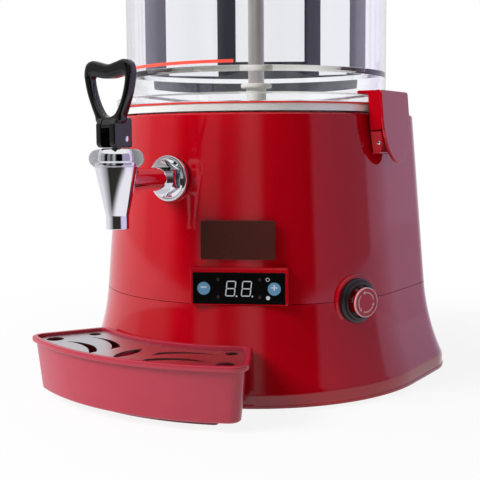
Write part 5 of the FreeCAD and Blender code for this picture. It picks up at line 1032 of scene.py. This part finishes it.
def latch_wall(name, place, end, body, cover):
    """The wall along one edge of the tongue; end is -1 in front and 1 at the rear."""
    outer, inner = end * LATCH_HALF, end * (LATCH_HALF - WALL_THICK)
    low, high = WALL_DEPTH
    rings = []
    for i in range(UPRIGHT_STEPS + 1):
        b = WALL_LOW + (WALL_HIGH - WALL_LOW) * i / UPRIGHT_STEPS
        rings.append([place(outer, b, low), place(outer, b, high), place(inner, b, high),
                      place(inner, b, low)])
    return strip(name, rings, red_gloss_abs, body, cover)


def latch_lug(name, place, end):
    """One of the two lugs on the housing that carry the pin."""
    def lug_place(a, b, out):
        return place(end * (out + LUG_LEAN * b), b, a)
    return slab(name, lug_outline, LUG_INNER, LUG_OUTER, 0.5, lug_place, red_gloss_abs, "machine",
                "red_abs", ["latch_brackets"])


def latch_pin(name, place, body):
    """The steel pin with its domed ends."""
    turns = [math.tau * i / LATCH_PIN_STEPS for i in range(LATCH_PIN_STEPS)]
    rings = [[place(along, radius * math.sin(t), radius * math.cos(t)) for t in turns]
             for radius, along in LATCH_PIN_OUTLINE]
    return skin(name, rings, polished_chrome, body, ["latch_pins"], closed=False)


def latch(side, side_name, body):
    """All pieces of one latch; side is 1 on the right and -1 on the left."""
    place = beside(side)
    cover = ["latch_" + side_name]
    ends = ((-1, "_front"), (1, "_rear"))
    pieces = [slab("tongue_" + side_name, tongue_outline, *TONGUE_DEPTH, 0.6, place, red_gloss_abs, body,
                   "red_abs", cover, both=True)]
    pieces += [latch_wall("latch_wall_" + side_name + end_name, place, end, body, cover)
               for end, end_name in ends]
    pieces.append(slab("latch_lip_" + side_name, lip_outline, LIP_LOW, LATCH_TOP, 0.7,
                       lambda a, b, out: (side * b, a, out), red_gloss_abs, body, "red_abs", cover,
                       both=True))
    pieces += [latch_lug("latch_lug_" + side_name + end_name, place, end) for end, end_name in ends]
    pieces.append(latch_pin("latch_pin_" + side_name, place, body))
    return pieces


right_latch = latch(1, "right", "latch_r")
for piece in latch(-1, "left", "latch_l"):
    piece.visible_transmission = False
print("pieces of a latch:", len(right_latch))

# %% [markdown]
# ## Front panel
# The display is a black glossy cover in a raised red frame. The frame could be cut into the
# housing's mesh, but the cut would spoil its even faces. So it is a skin of its own that dips into
# the wall: up the outside, round the front edge and down into the pocket.

# %% Display frame and cover
FRAME_FACE = 124.0      # distances in front of the machine's axis
FRAME_BACK = 110.0
POCKET_BACK = 121.8
COVER_BACK, COVER_FACE = 121.75, 123.4
FRAME_HALF, POCKET_HALF, COVER_HALF = 34.75, 32.85, 32.6
front_panel = facing(PANEL_BEARING)
frame_outer = box_outline(-FRAME_HALF, FRAME_HALF, 70.2, 97.0, 1.0)
frame_inner = box_outline(-POCKET_HALF, POCKET_HALF, 70.4, 93.5, 1.0)
frame_levels = [(frame_outer, 0.0, FRAME_BACK), (frame_outer, 0.0, FRAME_FACE - 0.8),
                (frame_outer, 0.23, FRAME_FACE - 0.23), (frame_outer, 0.8, FRAME_FACE),
                (frame_inner, -0.2, FRAME_FACE), (frame_inner, 0.0, FRAME_FACE - 0.3),
                (frame_inner, 0.0, POCKET_BACK)]
skin("display_frame", [[front_panel(a, b, out) for a, b in shrunk(outline, inset)]
                       for outline, inset, out in frame_levels],
     red_gloss_abs, "machine", ["upper_housing"], closed=False)
slab("display_cover", box_outline(-COVER_HALF, COVER_HALF, 70.5, 93.2, 0.8), COVER_BACK, COVER_FACE, 0.3,
     front_panel, black_gloss_abs, "machine", "black_abs", ["display_overlay"])
print("display frame:", 2 * FRAME_HALF, "wide")

# %% [markdown]
# The marks are printed on the back of the cover, and the pale ones carry a slight painted glow. A
# picture of them could be laid on, but it would blur close by. Each mark is a thin slab a tenth of a
# millimetre proud of the cover, so it stays sharp, and the figures are drawn from their segments.


# %% Display marks
def printed_ink(name, dark, light, rough=(0.25, 0.35), glow=0.0):
    """Ink behind the clear front of the panel; a mark with glow gets painted light, shining though it is no
    lamp.
    """
    finish, tree, shader = new_finish(name, IOR=1.5, Emission_Color=linear(light), Emission_Strength=glow)
    noise = grain(tree, 2.0)
    uneven(tree, shader, noise, 0.005, rough)
    two_tone(tree, shader, noise, dark, light)
    return finish


# Keys: a soft mid blue.
key_blue = printed_ink("key_blue_ink", "5387AC", "6A9CC0")
# Figures and small marks: pale grey print with a slight painted glow, so they stay bright in shadow.
pale_ink_painted_glow = printed_ink("pale_grey_ink_painted_glow", "B4BCC4", "C8D0D8", glow=0.15)
# Lamp windows, unlit: a red so dark that it hardly leaves the black.
dim_red = printed_ink("dim_red_window", "2A0A0A", "3A0E0C")
MARK_BACK, MARK_FACE = 123.3, 123.5


def disc_outline(a, b, radius, steps=32):
    """A round outline about a point; few steps make it a polygon."""
    return [(a + radius * math.cos(math.tau * i / steps), b + radius * math.sin(math.tau * i / steps))
            for i in range(steps)]


def mark(name, outline, finish, lift=0.0):
    """A thin printed mark on the display."""
    return slab(name, outline, MARK_BACK, MARK_FACE + lift, 0.05, front_panel, finish, "machine",
                "black_abs")


def bar(name, start, end, width, finish, lift=0.0):
    """A straight printed line between two points, with pointed ends."""
    first, last = Vector(start), Vector(end)
    along = (last - first).normalized() * width / 2
    side = Vector((-along.y, along.x))
    outline = [first - along, first - side, last - side, last + along, last + side, first + side]
    return mark(name, [tuple(p) for p in outline], finish, lift)


print("inks:", key_blue.name, pale_ink_painted_glow.name, dim_red.name)

# %% [markdown]
# A figure has seven segments. They stand on a grid of two by three corners that slants a little, so
# each segment is named by the two corners that it joins.

# %% Figures
SEGMENTS = {"top": ((0, 2), (1, 2)), "middle": ((0, 1), (1, 1)), "foot": ((0, 0), (1, 0)),
            "low_left": ((0, 0), (0, 1)), "low_right": ((1, 0), (1, 1)), "high_left": ((0, 1), (0, 2)),
            "high_right": ((1, 1), (1, 2))}
PANEL_MIDDLE = 82.0     # height of the figures' and keys' middles
DIGIT_WIDTH, DIGIT_RISE, SLANT = 6.2, 5.2, 0.12
STROKE, STROKE_GAP = 0.68, 0.5


def digit(name, middle):
    """A slanted seven-segment figure with its point."""
    def corner(step):
        rise = PANEL_MIDDLE + (step[1] - 1) * DIGIT_RISE
        return (middle + (step[0] - 0.5) * DIGIT_WIDTH + (rise - PANEL_MIDDLE) * SLANT, rise)

    for segment, (low, high) in SEGMENTS.items():
        start, end = Vector(corner(low)), Vector(corner(high))
        gap = (end - start).normalized() * STROKE_GAP
        bar(name + "_" + segment, start + gap, end - gap, STROKE, pale_ink_painted_glow)
    mark(name + "_point", disc_outline(middle + DIGIT_WIDTH / 2 + 1.0, 76.6, 0.6, 12), pale_ink_painted_glow)


# Their middles, left and right of the panel's own
digit("digit_left", -5.8)
digit("digit_right", 5.4)
print("figure height:", round(2 * DIGIT_RISE + STROKE, 2))

# %% [markdown]
# A blue round key stands on each side of the figures, with a minus and a plus. Four dark lamp
# windows and a few small icons fill the corners. They are discs and bars like the rest.

# %% Keys, lamp windows and icons
KEY_PLACE, KEY_RADIUS = 25.0, 4.6
KEY_BAR_HALF, KEY_BAR_WIDTH = 1.9, 0.9
KEY_SIGN_Z = 82.9
for side, side_name in ((-1, "left"), (1, "right")):
    key_at = KEY_PLACE * side
    mark("key_" + side_name, disc_outline(key_at, PANEL_MIDDLE, KEY_RADIUS), key_blue, 0.05)
    bar("key_bar_" + side_name, (key_at - KEY_BAR_HALF, KEY_SIGN_Z), (key_at + KEY_BAR_HALF, KEY_SIGN_Z),
        KEY_BAR_WIDTH, pale_ink_painted_glow, 0.15)
    for height_name, z in (("_low", 76.0), ("_high", 88.4)):
        mark("window_" + side_name + height_name, disc_outline(side * 14.8, z, 1.2, 16), dim_red)
bar("key_bar_upright", (KEY_PLACE, KEY_SIGN_Z - KEY_BAR_HALF), (KEY_PLACE, KEY_SIGN_Z + KEY_BAR_HALF),
    KEY_BAR_WIDTH, pale_ink_painted_glow, 0.15)
mark("icon_high", disc_outline(20.4, 88.6, 1.5, 6), pale_ink_painted_glow)
mark("icon_high_gap", disc_outline(20.4, 88.6, 1.1, 6), black_gloss_abs, 0.05)
mark("icon_low", disc_outline(20.6, 75.6, 1.5, 8), pale_ink_painted_glow)
print("key width:", 2 * KEY_RADIUS)

# %% [markdown]
# The nameplate is a small sheet with round corners, glued to the leaning wall above the display,
# and it is bare. It is a slab that leans with the housing, and its round edge draws a fine line
# of light round the brown.

# %% Nameplate
PLATE_BEARING, PLATE_Z = 25.6, 116.0
PLATE_HALF_WIDTH, PLATE_HALF_HEIGHT = 26.5, 13.75
plate_place = facing(PLATE_BEARING, PLATE_Z, LEAN, housing_radius(PLATE_Z))
plate_outline = box_outline(-PLATE_HALF_WIDTH, PLATE_HALF_WIDTH, -PLATE_HALF_HEIGHT, PLATE_HALF_HEIGHT, 1.5)
slab("nameplate_bare", plate_outline, 0.6, 2.6, 0.45, plate_place, brown_plate, "machine", "brown_plate",
     ["nameplate"])
print("nameplate:", 2 * PLATE_HALF_WIDTH, "by", 2 * PLATE_HALF_HEIGHT)

# %% [markdown]
# ## Stop switch
# A black collar sits on a round boss, and the red head in it is pushed to stop the machine and
# twisted to let it go. All three are turned parts, so their outlines are turned about the switch's
# own level axis. The head has to move alone, so it rides on its own body and keeps clear of the
# collar round it.

# %% Boss and collar
STOP_Z, STOP_FACE = 69.5, 124.2
COLLAR_RADIUS = 16.4
boss_outline = rounded([(19.3, 104.0), (19.3, STOP_FACE, 1.0), (11.2, STOP_FACE), (11.2, 112.0)])
skin("stop_boss", turned_front(boss_outline, STOP_Z, STOP_BEARING), red_gloss_abs, "machine",
     ["upper_housing"], closed=False)
collar_outline = rounded([
    (9.3, 118.0), (11.0, 118.0), (11.0, STOP_FACE), (COLLAR_RADIUS, STOP_FACE),
    (COLLAR_RADIUS, STOP_FACE + 2.6, 1.2), (14.1, STOP_FACE + 2.8, 0.4), (13.8, STOP_FACE + 5.0, 0.8),
    (11.65, STOP_FACE + 5.0, 0.5), (11.5, STOP_FACE + 1.7), (9.3, STOP_FACE + 1.5)])
skin("stop_collar_ring", turned_front(collar_outline, STOP_Z, STOP_BEARING), black_satin_nylon, "machine",
     ["stop_collar"])
print("collar:", 2 * COLLAR_RADIUS, "wide")

# %% [markdown]
# The head is a shallow dish with a thin pale edge. The edge is a ring of its own, so that its
# pale colour stops sharply at the side of the head.

# %% Head
HEAD_RADIUS = 10.85
head_face = STOP_FACE + 10.3
head_outline = rounded([
    (4.2, 129.0), (8.3, 129.0), (HEAD_RADIUS, head_face - 2.0, 0.8), (HEAD_RADIUS, head_face, 0.5),
    (9.9, head_face, 0.2), (9.6, head_face - 0.4, 0.1), (0.0, head_face - 0.4)])
skin("stop_head_red", turned_front(head_outline, STOP_Z, STOP_BEARING), red_gloss_abs, "stop_cap",
     ["stop_head"], closed=False)
# Edge and arrows of the head: a greyish pink that stands out from the red without being white.
pale_rim = printed_ink("pale_rim_ink", "C8A0A8", "D8B4BC")
rim_outline = rounded([(10.9, head_face - 0.9), (10.9, head_face + 0.02, 0.4), (10.0, head_face + 0.02),
                       (10.0, head_face - 0.9)])
skin("stop_head_edge", turned_front(rim_outline, STOP_Z, STOP_BEARING), pale_rim, "stop_cap")
print("head:", 2 * HEAD_RADIUS, "wide")

# %% [markdown]
# Three arrows run round the head's face and say which way to twist it. Each is an arc and a
# three-sided tip, both thin slabs in the dish of the head.

# %% Twist arrows
ARROWS = 3
ARROW_START, ARROW_SWEEP, ARROW_STEPS = 12, 84, 12         # degrees, and faces along the arc
ARROW_OUTER, ARROW_INNER = 7.6, 6.7
TIP_RADIUS, TIP_SIZE, TIP_TURN = 7.15, 1.5, 104
stop_place = facing(STOP_BEARING, STOP_Z)


def on_circle(radius, turn, middle=(0.0, 0.0)):
    """A point at a radius and a turn about a middle."""
    return (middle[0] + radius * math.cos(turn), middle[1] + radius * math.sin(turn))


for arrow in range(ARROWS):
    first_turn = 360 / ARROWS * arrow
    turns = [math.radians(first_turn + ARROW_START + ARROW_SWEEP * i / ARROW_STEPS)
             for i in range(ARROW_STEPS + 1)]
    arc = [on_circle(ARROW_OUTER, t) for t in turns] + [on_circle(ARROW_INNER, t) for t in reversed(turns)]
    slab("stop_arrow_%d" % arrow, arc, head_face - 0.5, head_face - 0.3, 0.03, stop_place, pale_rim,
         "stop_cap", "red_abs")
    tip_turn = math.radians(first_turn + TIP_TURN)
    tip = [on_circle(TIP_SIZE, tip_turn + math.radians(90 + 120 * corner), on_circle(TIP_RADIUS, tip_turn))
           for corner in range(3)]
    slab("stop_arrow_tip_%d" % arrow, tip, head_face - 0.5, head_face - 0.28, 0.03, stop_place, pale_rim,
         "stop_cap", "red_abs")
print("arrows:", ARROWS)

# %% [markdown]
# ## Stirrer
# A white acetal paddle turns just above the pan's floor and keeps the drink moving: a tall hub in
# the middle, a bar across the floor and a vane at each end. The hub is turned, and the flat pieces
# are slabs that run into it. A bright steel tube stands on the hub and runs up the tank.

# %% Stirrer paddle
PADDLE_LOW = 139.5
BAR_HEIGHT, BAR_HALF_DEPTH = 6.0, 3.5
VANE_INNER, VANE_OUTER, VANE_TOP = 46.0, 78.0, PADDLE_LOW + 40.0
VANE_HALF_DEPTH = 1.5
hub_outline = rounded([
    (6.6, PADDLE_LOW), (14.5, PADDLE_LOW, 1.0), (14.5, 204.0, 4.0), (8.2, 210.0, 3.0), (8.2, 226.6),
    (12.6, 226.6, 1.0), (12.6, 230.2, 1.0), (6.6, 230.2)])
skin("paddle_hub", lathe(hub_outline, steps=72), white_acetal, "stirrer",
     ["stirrer_paddle"])
upright = facing(0.0)


def paddle_plate(name, outline, half_depth, edge):
    """A flat piece of the paddle, upright on the machine's middle plane."""
    return slab(name, outline, -half_depth, half_depth, edge, upright, white_acetal, "stirrer",
                "white_acetal", ["stirrer_paddle"], both=True)


for side, side_name in ((1, "right"), (-1, "left")):
    ends = sorted((side * 12.0, side * VANE_OUTER))
    paddle_plate("paddle_bar_" + side_name, box_outline(*ends, PADDLE_LOW, PADDLE_LOW + BAR_HEIGHT, 1.0),
                 BAR_HALF_DEPTH, 0.8)
    vane = [(VANE_INNER, PADDLE_LOW + 1, 1.0), (VANE_OUTER, PADDLE_LOW + 1, 1.0),
            (VANE_OUTER, VANE_TOP, 14.0), (VANE_INNER, VANE_TOP, 6.0)]
    if side < 0:
        vane = [(-x, z, bend) for x, z, bend in reversed(vane)]
    paddle_plate("paddle_vane_" + side_name, rounded(vane, 6), VANE_HALF_DEPTH, 0.6)
print("paddle width:", 2 * VANE_OUTER)

# %% [markdown]
# The tube is drawn steel, round and hollow, so it is turned too. It looks warm grey through the
# tank and has a finish of its own for that.

# %% Stirrer tube
TUBE_RADIUS, TUBE_BORE = 6.5, 5.5
TUBE_LOW, TUBE_TOP = 228.0, 452.0
tube_outline = rounded([(TUBE_BORE, TUBE_LOW), (TUBE_RADIUS, TUBE_LOW), (TUBE_RADIUS, TUBE_TOP, 0.4),
                        (TUBE_BORE, TUBE_TOP, 0.3)])
skin("stirrer_tube_bright", lathe(tube_outline, steps=64), drawn_tube, "stirrer",
     ["stirrer_tube"])
print("tube length:", TUBE_TOP - TUBE_LOW)

# %% [markdown]
# ## Level line
# A thin red line printed round the front of the tank marks a level of the drink. Ink painted
# into the clear material would be bent and doubled by the wall, so the line is a strip of its own,
# a tenth of a millimetre proud of the tank.

# %% Level line
LINE_LOW, LINE_HIGH = 240.7, 243.0
LINE_START, LINE_SWEEP, LINE_STEPS = -29.5, 52.7, 60        # degrees, and faces along the line
line_inner, line_outer = TANK_RADIUS - 0.05, TANK_RADIUS + 0.12
line_section = [(line_inner, LINE_LOW), (line_outer, LINE_LOW), (line_outer, LINE_HIGH),
                (line_inner, LINE_HIGH)]
line_rings = []
for i in range(LINE_STEPS + 1):
    bearing = LINE_START + LINE_SWEEP * i / LINE_STEPS
    line_rings.append(turned_to([(0.0, -radius, z) for radius, z in line_section], bearing))
# Level line: a clear orange red print with a little painted glow, which keeps it bright behind the
# reflections.
level_red_painted_glow = printed_ink("level_red_ink_painted_glow", "F0483C", "FF5A48", glow=0.1)
strip("level_line", line_rings, level_red_painted_glow, "machine")
print("level line height:", round(LINE_HIGH - LINE_LOW, 2))

# %% [markdown]
# ## Studio
# The object stands on a pale floor in front of white. A large soft lamp lights it from the
# front left. Gloss needs something to reflect, so reflected rays see the rest of a studio: tall
# pale panels with dark gaps between them. They could be boards on stands, but those would get in
# the camera's way and cost time. So brightness simply depends on the compass bearing of a ray,
# from -180 degrees behind the machine over 0 in front of it to 180.

# %% Light and dark by bearing
# Tints of the studio's light, as shares of red, green and blue
NEUTRAL = (1.0, 0.98, 1.0)
COOL = (0.97, 0.82, 1.2)
WARM = (1.1, 1.0, 0.85)
PALE = (1.0, 0.96, 1.01)
WHITE = (1.0, 1.0, 1.0, 1.0)


def by_bearing(tree, parts, panels, tint_at):
    """A colour ramp round the compass; panels are (bearing in degrees, brightness)."""
    front = add_node(tree, "ShaderNodeMath", {"operation": "MULTIPLY", 1: -1.0}, {0: (parts, "Y")})
    bearing = add_node(tree, "ShaderNodeMath", {"operation": "ARCTAN2"},
                       {0: (parts, "X"), 1: (front, "Value")})
    share = add_node(tree, "ShaderNodeMapRange", {"From Min": -math.pi, "From Max": math.pi},
                     {"Value": (bearing, "Value")})
    ramp_node = add_node(tree, "ShaderNodeValToRGB", {}, {"Fac": (share, "Result")})
    stops = ramp_node.color_ramp.elements
    while len(stops) < len(panels):
        stops.new(0.5)
    for stop, (degrees, _) in zip(stops, panels):
        stop.position = (degrees + 180) / 360
    for stop, (degrees, brightness) in zip(stops, panels):
        stop.color = tuple(brightness * part for part in tint_at(degrees)) + (1,)
    return ramp_node


def looked_at(tree, path):
    """1 for rays that come from the camera, straight or through clear plastic."""
    return add_node(tree, "ShaderNodeMath", {"operation": "MAXIMUM"},
                    {0: (path, "Is Camera Ray"), 1: (path, "Is Transmission Ray")})


def stage_mesh(name, points, faces, finish):
    """A mesh that belongs to the studio and not to the machine."""
    mesh = bpy.data.meshes.new(name)
    mesh.from_pydata(points, [], faces)
    mesh.materials.append(finish)
    thing = bpy.data.objects.new(name, mesh)
    bpy.context.scene.collection.objects.link(thing)
    return thing


print("tints:", NEUTRAL, COOL, WARM, PALE)

# %% [markdown]
# The floor is matt white paint. Real paint would turn grey away from the lamp, so what the camera
# sees of it is blended with plain white, and wholly white further out: only a soft shadow stays
# near the machine. Reflections see it by bearing, white behind and beside the machine and dark
# in front of it and to the right, which gives the skirt its dark lower edge.

# %% Two views of the floor
# (bearing in degrees, brightness)
FLOOR_PANELS = [(-180, 0.9), (-50, 0.9), (-30, 0.6), (-12, 0.3), (-4, 0.03), (62, 0.03), (72, 0.75),
                (165, 0.8), (180, 0.9)]
LAMP_SIDE = (-12, 70)               # bearings of the warm light on the floor
SHADE_SIDE = (0, 170)               # bearings of the cool light, beyond the warm ones
WHITE_FROM, WHITE_TO = 0.15, 0.6    # metres from the middle between which the paint turns white
NEAR_WHITE = 0.88                   # share of plain white near the machine
FOOT_FROM, FOOT_TO = 0.42, 0.48     # metres; reflections see pale floor nearer than this
PAINT = (0.9, 0.9, 0.9, 1)


def floor_tint(degrees):
    """The tint of the floor's reflection at a bearing."""
    if LAMP_SIDE[0] < degrees < LAMP_SIDE[1]:
        return WARM
    return COOL if SHADE_SIDE[0] < degrees < SHADE_SIDE[1] else PALE


def floor_to_the_eye(tree, path, reach):
    """Matt paint blended with plain white."""
    fade = add_node(tree, "ShaderNodeMapRange",
                    {"interpolation_type": "SMOOTHSTEP", "From Min": WHITE_FROM, "From Max": WHITE_TO,
                     "To Min": NEAR_WHITE, "To Max": 1.0}, {"Value": (reach, "Value")})
    plain = add_node(tree, "ShaderNodeMath", {"operation": "MULTIPLY"},
                     {0: (fade, "Result"), 1: (looked_at(tree, path), "Value")})
    paint = add_node(tree, "ShaderNodeBsdfDiffuse", {"Color": PAINT})
    white = add_node(tree, "ShaderNodeEmission", {"Color": WHITE, "Strength": 1.0})
    return add_node(tree, "ShaderNodeMixShader", {},
                    {0: (plain, "Value"), 1: (paint, "BSDF"), 2: (white, "Emission")})


def floor_in_gloss(tree, spot, reach):
    """The floor as a reflection sees it: pale at the foot, and by bearing further out."""
    places = add_node(tree, "ShaderNodeSeparateXYZ", {}, {0: (spot, "Object")})
    seen = by_bearing(tree, places, FLOOR_PANELS, floor_tint)
    far = add_node(tree, "ShaderNodeMapRange",
                   {"interpolation_type": "SMOOTHSTEP", "From Min": FOOT_FROM, "From Max": FOOT_TO},
                   {"Value": (reach, "Value")})
    level = add_node(tree, "ShaderNodeMix", {"data_type": "RGBA", MIX_A: PALE + (1,)},
                     {"Factor": (far, "Result"), MIX_B: (seen, "Color")})
    return add_node(tree, "ShaderNodeEmission", {"Strength": 1.0}, {"Color": (level, MIX_RESULT)})


print("floor panels:", len(FLOOR_PANELS))

# %% [markdown]
# A matt white paint takes soft light and the machine's shadow. A mirror image of the machine would
# look wet, so the floor has no gloss of its own. The two views of it are joined by asking each ray
# what kind it is.


# %% Floor
def floor_finish():
    """White paint: one shader for the eye and for soft light, another for reflections."""
    finish = bpy.data.materials.new("studio_paint")
    tree = emptied(finish)
    spot = add_node(tree, "ShaderNodeTexCoord")
    reach = add_node(tree, "ShaderNodeVectorMath", {"operation": "LENGTH"}, {0: (spot, "Object")})
    path = add_node(tree, "ShaderNodeLightPath")
    # A ray that came through clear plastic also counts as glossy, so it is taken out here.
    gloss = add_node(tree, "ShaderNodeMath", {"operation": "SUBTRACT", "use_clamp": True},
                     {0: (path, "Is Glossy Ray"), 1: (path, "Is Transmission Ray")})
    direct = floor_to_the_eye(tree, path, reach)
    mirrored = floor_in_gloss(tree, spot, reach)
    mixed = add_node(tree, "ShaderNodeMixShader", {},
                     {0: (gloss, "Value"), 1: (direct, "Shader"), 2: (mirrored, "Emission")})
    add_node(tree, "ShaderNodeOutputMaterial", {}, {"Surface": (mixed, "Shader")})
    return finish


FLOOR_HALF = 6.0
floor_corners = [(-FLOOR_HALF, -FLOOR_HALF, 0), (FLOOR_HALF, -FLOOR_HALF, 0), (FLOOR_HALF, FLOOR_HALF, 0),
                 (-FLOOR_HALF, FLOOR_HALF, 0)]
stage_mesh("studio_floor", floor_corners, [(0, 1, 2, 3)], floor_finish())
print("floor:", 2 * FLOOR_HALF, "metres wide")

# %% [markdown]
# A clear tank shows what stands behind it: dark walls with pale windows between them. Walls in
# the studio would show in every reflection, so they are one card behind the machine, which
# only rays through clear plastic see. It faces the camera, so the camera's place comes first.

# %% Dark walls behind the tank
CAMERA_AT = Vector((398.6, -637.9, 182.3))
LOOK_LEFT = 1.08        # degrees that the camera looks past the machine's middle
HEADING = math.degrees(math.atan2(-CAMERA_AT.y, -CAMERA_AT.x)) + LOOK_LEFT
CARD_DISTANCE = 1052.0
CARD_LOW, CARD_HIGH = 228, 520
# (left, right, low, high) of each wall as the camera sees the card, in millimetres
CARD_WALLS = [(-127, -92, CARD_LOW, CARD_HIGH), (-26.5, -4.5, CARD_LOW, CARD_HIGH),
              (78, 98, CARD_LOW, CARD_HIGH), (137, 164, CARD_LOW, CARD_HIGH),
              (-4.5, 78, CARD_LOW, 277), (-92, -26.5, CARD_LOW, 252), (98, 137, CARD_LOW, 252)]
card_ahead = Vector((math.cos(math.radians(HEADING)), math.sin(math.radians(HEADING)), 0.0))
card_right = Vector((card_ahead.y, -card_ahead.x, 0.0))


def card_finish():
    """An even bluish dark grey that light doesn't change."""
    finish = bpy.data.materials.new("studio_card_paint")
    tree = emptied(finish)
    grey = add_node(tree, "ShaderNodeEmission", {"Color": linear("2A2D34"), "Strength": 1.0})
    add_node(tree, "ShaderNodeOutputMaterial", {}, {"Surface": (grey, "Emission")})
    return finish


card_points, card_faces = [], []
for left, right, low, high in CARD_WALLS:
    corner = len(card_points)
    for across_mm, z in ((left, low), (right, low), (right, high), (left, high)):
        spot = CAMERA_AT + card_ahead * CARD_DISTANCE + card_right * across_mm
        card_points.append(at(spot.x, spot.y, z))
    card_faces.append((corner, corner + 1, corner + 2, corner + 3))
studio_card = stage_mesh("studio_card", card_points, card_faces, card_finish())
for ray in ("camera", "diffuse", "glossy", "shadow"):
    setattr(studio_card, "visible_" + ray, False)
print("walls on the card:", len(CARD_WALLS))

# %% [markdown]
# Round the machine, gloss sees the panels of the studio and a white ceiling. Where panels and gaps
# stand decides every upright band on the housing, so this list is the studio's real light plan.
# Soft light on matt surfaces comes from an even fill, and the camera sees plain white.

# %% Surroundings
# (bearing in degrees, brightness)
PANELS = [(-180, 0.85), (-110, 0.80), (-66, 0.60), (-60, 0.38), (-40, 0.38), (-30, 0.06), (-26, 0.0),
          (-16, 0.0), (-10, 0.29), (0, 0.29), (6, 0.07), (12, 0.07), (17, 0.16), (22, 0.40), (28, 0.50),
          (33, 0.40), (38, 0.03), (45, 0.0), (74, 0.0), (77, 0.42), (126, 0.42), (129, 0.90),
          (165, 0.90), (180, 0.95)]
COOL_SIDE = (70, 170)               # bearings of the cool panels
CEILING_FROM, CEILING_TO = 0.55, 0.68       # upward share of a ray's direction
FILL = 0.27


def in_gloss(tree):
    """Background of reflected rays: panels by bearing, and white overhead."""
    spot = add_node(tree, "ShaderNodeTexCoord")
    parts = add_node(tree, "ShaderNodeSeparateXYZ", {}, {0: (spot, "Generated")})
    panels = by_bearing(tree, parts, PANELS,
                        lambda degrees: COOL if COOL_SIDE[0] < degrees < COOL_SIDE[1] else NEUTRAL)
    overhead = add_node(tree, "ShaderNodeMapRange",
                        {"interpolation_type": "SMOOTHSTEP", "From Min": CEILING_FROM,
                         "From Max": CEILING_TO}, {"Value": (parts, "Z")})
    mirrored = add_node(tree, "ShaderNodeMix", {"data_type": "RGBA", MIX_B: WHITE},
                        {"Factor": (overhead, "Result"), MIX_A: (panels, "Color")})
    return add_node(tree, "ShaderNodeBackground", {"Strength": 1.0}, {"Color": (mirrored, MIX_RESULT)})


def on_first_look(tree, path):
    """1 where the eye sees the surroundings without any bounce before."""
    bounces = add_node(tree, "ShaderNodeMath", {"operation": "ADD"},
                       {0: (path, "Glossy Depth"), 1: (path, "Diffuse Depth")})
    none = add_node(tree, "ShaderNodeMath", {"operation": "LESS_THAN", 1: 0.5}, {0: (bounces, "Value")})
    return add_node(tree, "ShaderNodeMath", {"operation": "MULTIPLY"},
                    {0: (looked_at(tree, path), "Value"), 1: (none, "Value")})


def studio_world():
    """The surroundings: plain white to the eye, panels in gloss and an even fill elsewhere."""
    world = bpy.data.worlds.new("studio")
    tree = emptied(world)
    path = add_node(tree, "ShaderNodeLightPath")
    fill = add_node(tree, "ShaderNodeBackground", {"Color": WHITE, "Strength": FILL})
    white = add_node(tree, "ShaderNodeBackground", {"Color": WHITE, "Strength": 1.0})
    bounced = add_node(tree, "ShaderNodeMath", {"operation": "MINIMUM", 1: 1.0},
                       {0: (path, "Glossy Depth")})
    lit = add_node(tree, "ShaderNodeMixShader", {},
                   {0: (bounced, "Value"), 1: (fill, "Background"), 2: (in_gloss(tree), "Background")})
    surface = add_node(tree, "ShaderNodeMixShader", {},
                       {0: (on_first_look(tree, path), "Value"), 1: (lit, "Shader"),
                        2: (white, "Background")})
    add_node(tree, "ShaderNodeOutputWorld", {}, {"Surface": (surface, "Shader")})
    return world


bpy.context.scene.world = studio_world()
print("panels:", len(PANELS))

# %% [markdown]
# One large square lamp gives the soft light from the front left. It could be a sun, but a sun's
# shadows have hard edges. It would also show as a white square in every gloss, so reflections and
# rays through clear plastic pass it by.


# %% Lamp
LAMP_AIM = 200          # height of the point that it looks at, in millimetres


def area_lamp(name, bearing, elevation, distance, size, power):
    """A square soft lamp that looks at the middle of the machine and isn't seen in gloss."""
    lamp = bpy.data.lights.new(name, "AREA")
    lamp.shape = "SQUARE"
    lamp.size = size
    lamp.energy = power
    stand = bpy.data.objects.new(name, lamp)
    bpy.context.scene.collection.objects.link(stand)
    angle, rise = math.radians(bearing), math.radians(elevation)
    out = Vector((math.sin(angle) * math.cos(rise), -math.cos(angle) * math.cos(rise), math.sin(rise)))
    stand.location = at(0, 0, LAMP_AIM) + out * distance
    stand.rotation_euler = out.to_track_quat("Z", "Y").to_euler()
    stand.visible_glossy = False
    stand.visible_transmission = False
    return stand


key_lamp = area_lamp("key_lamp", bearing=-30, elevation=35, distance=2.0, size=0.9, power=44)
print("lamp at", [round(v, 2) for v in key_lamp.location])

# %% [markdown]
# ## Camera
# It stands to the right of the front, at the level of the pan, and looks slightly down. A lens
# of nearly twice the sensor's width keeps the upright edges almost parallel. The turns are
# applied in order: heading, tilt, and a hint of roll.

# %% Camera
LENS, SENSOR = 67.85, 36.0          # millimetres
TILT, ROLL = 5.97, 0.378            # degrees, down and clockwise
camera_data = bpy.data.cameras.new("camera")
camera_data.lens = LENS
camera_data.sensor_width = SENSOR
camera = bpy.data.objects.new("camera", camera_data)
bpy.context.scene.collection.objects.link(camera)
camera.matrix_world = (Matrix.Translation(at(*CAMERA_AT))
                       @ Matrix.Rotation(math.radians(HEADING - 90), 4, "Z")
                       @ Matrix.Rotation(math.radians(90 - TILT), 4, "X")
                       @ Matrix.Rotation(math.radians(-ROLL), 4, "Z"))
bpy.context.scene.camera = camera
bpy.context.scene.view_settings.view_transform = "Standard"
print("camera heading", round(HEADING, 2))
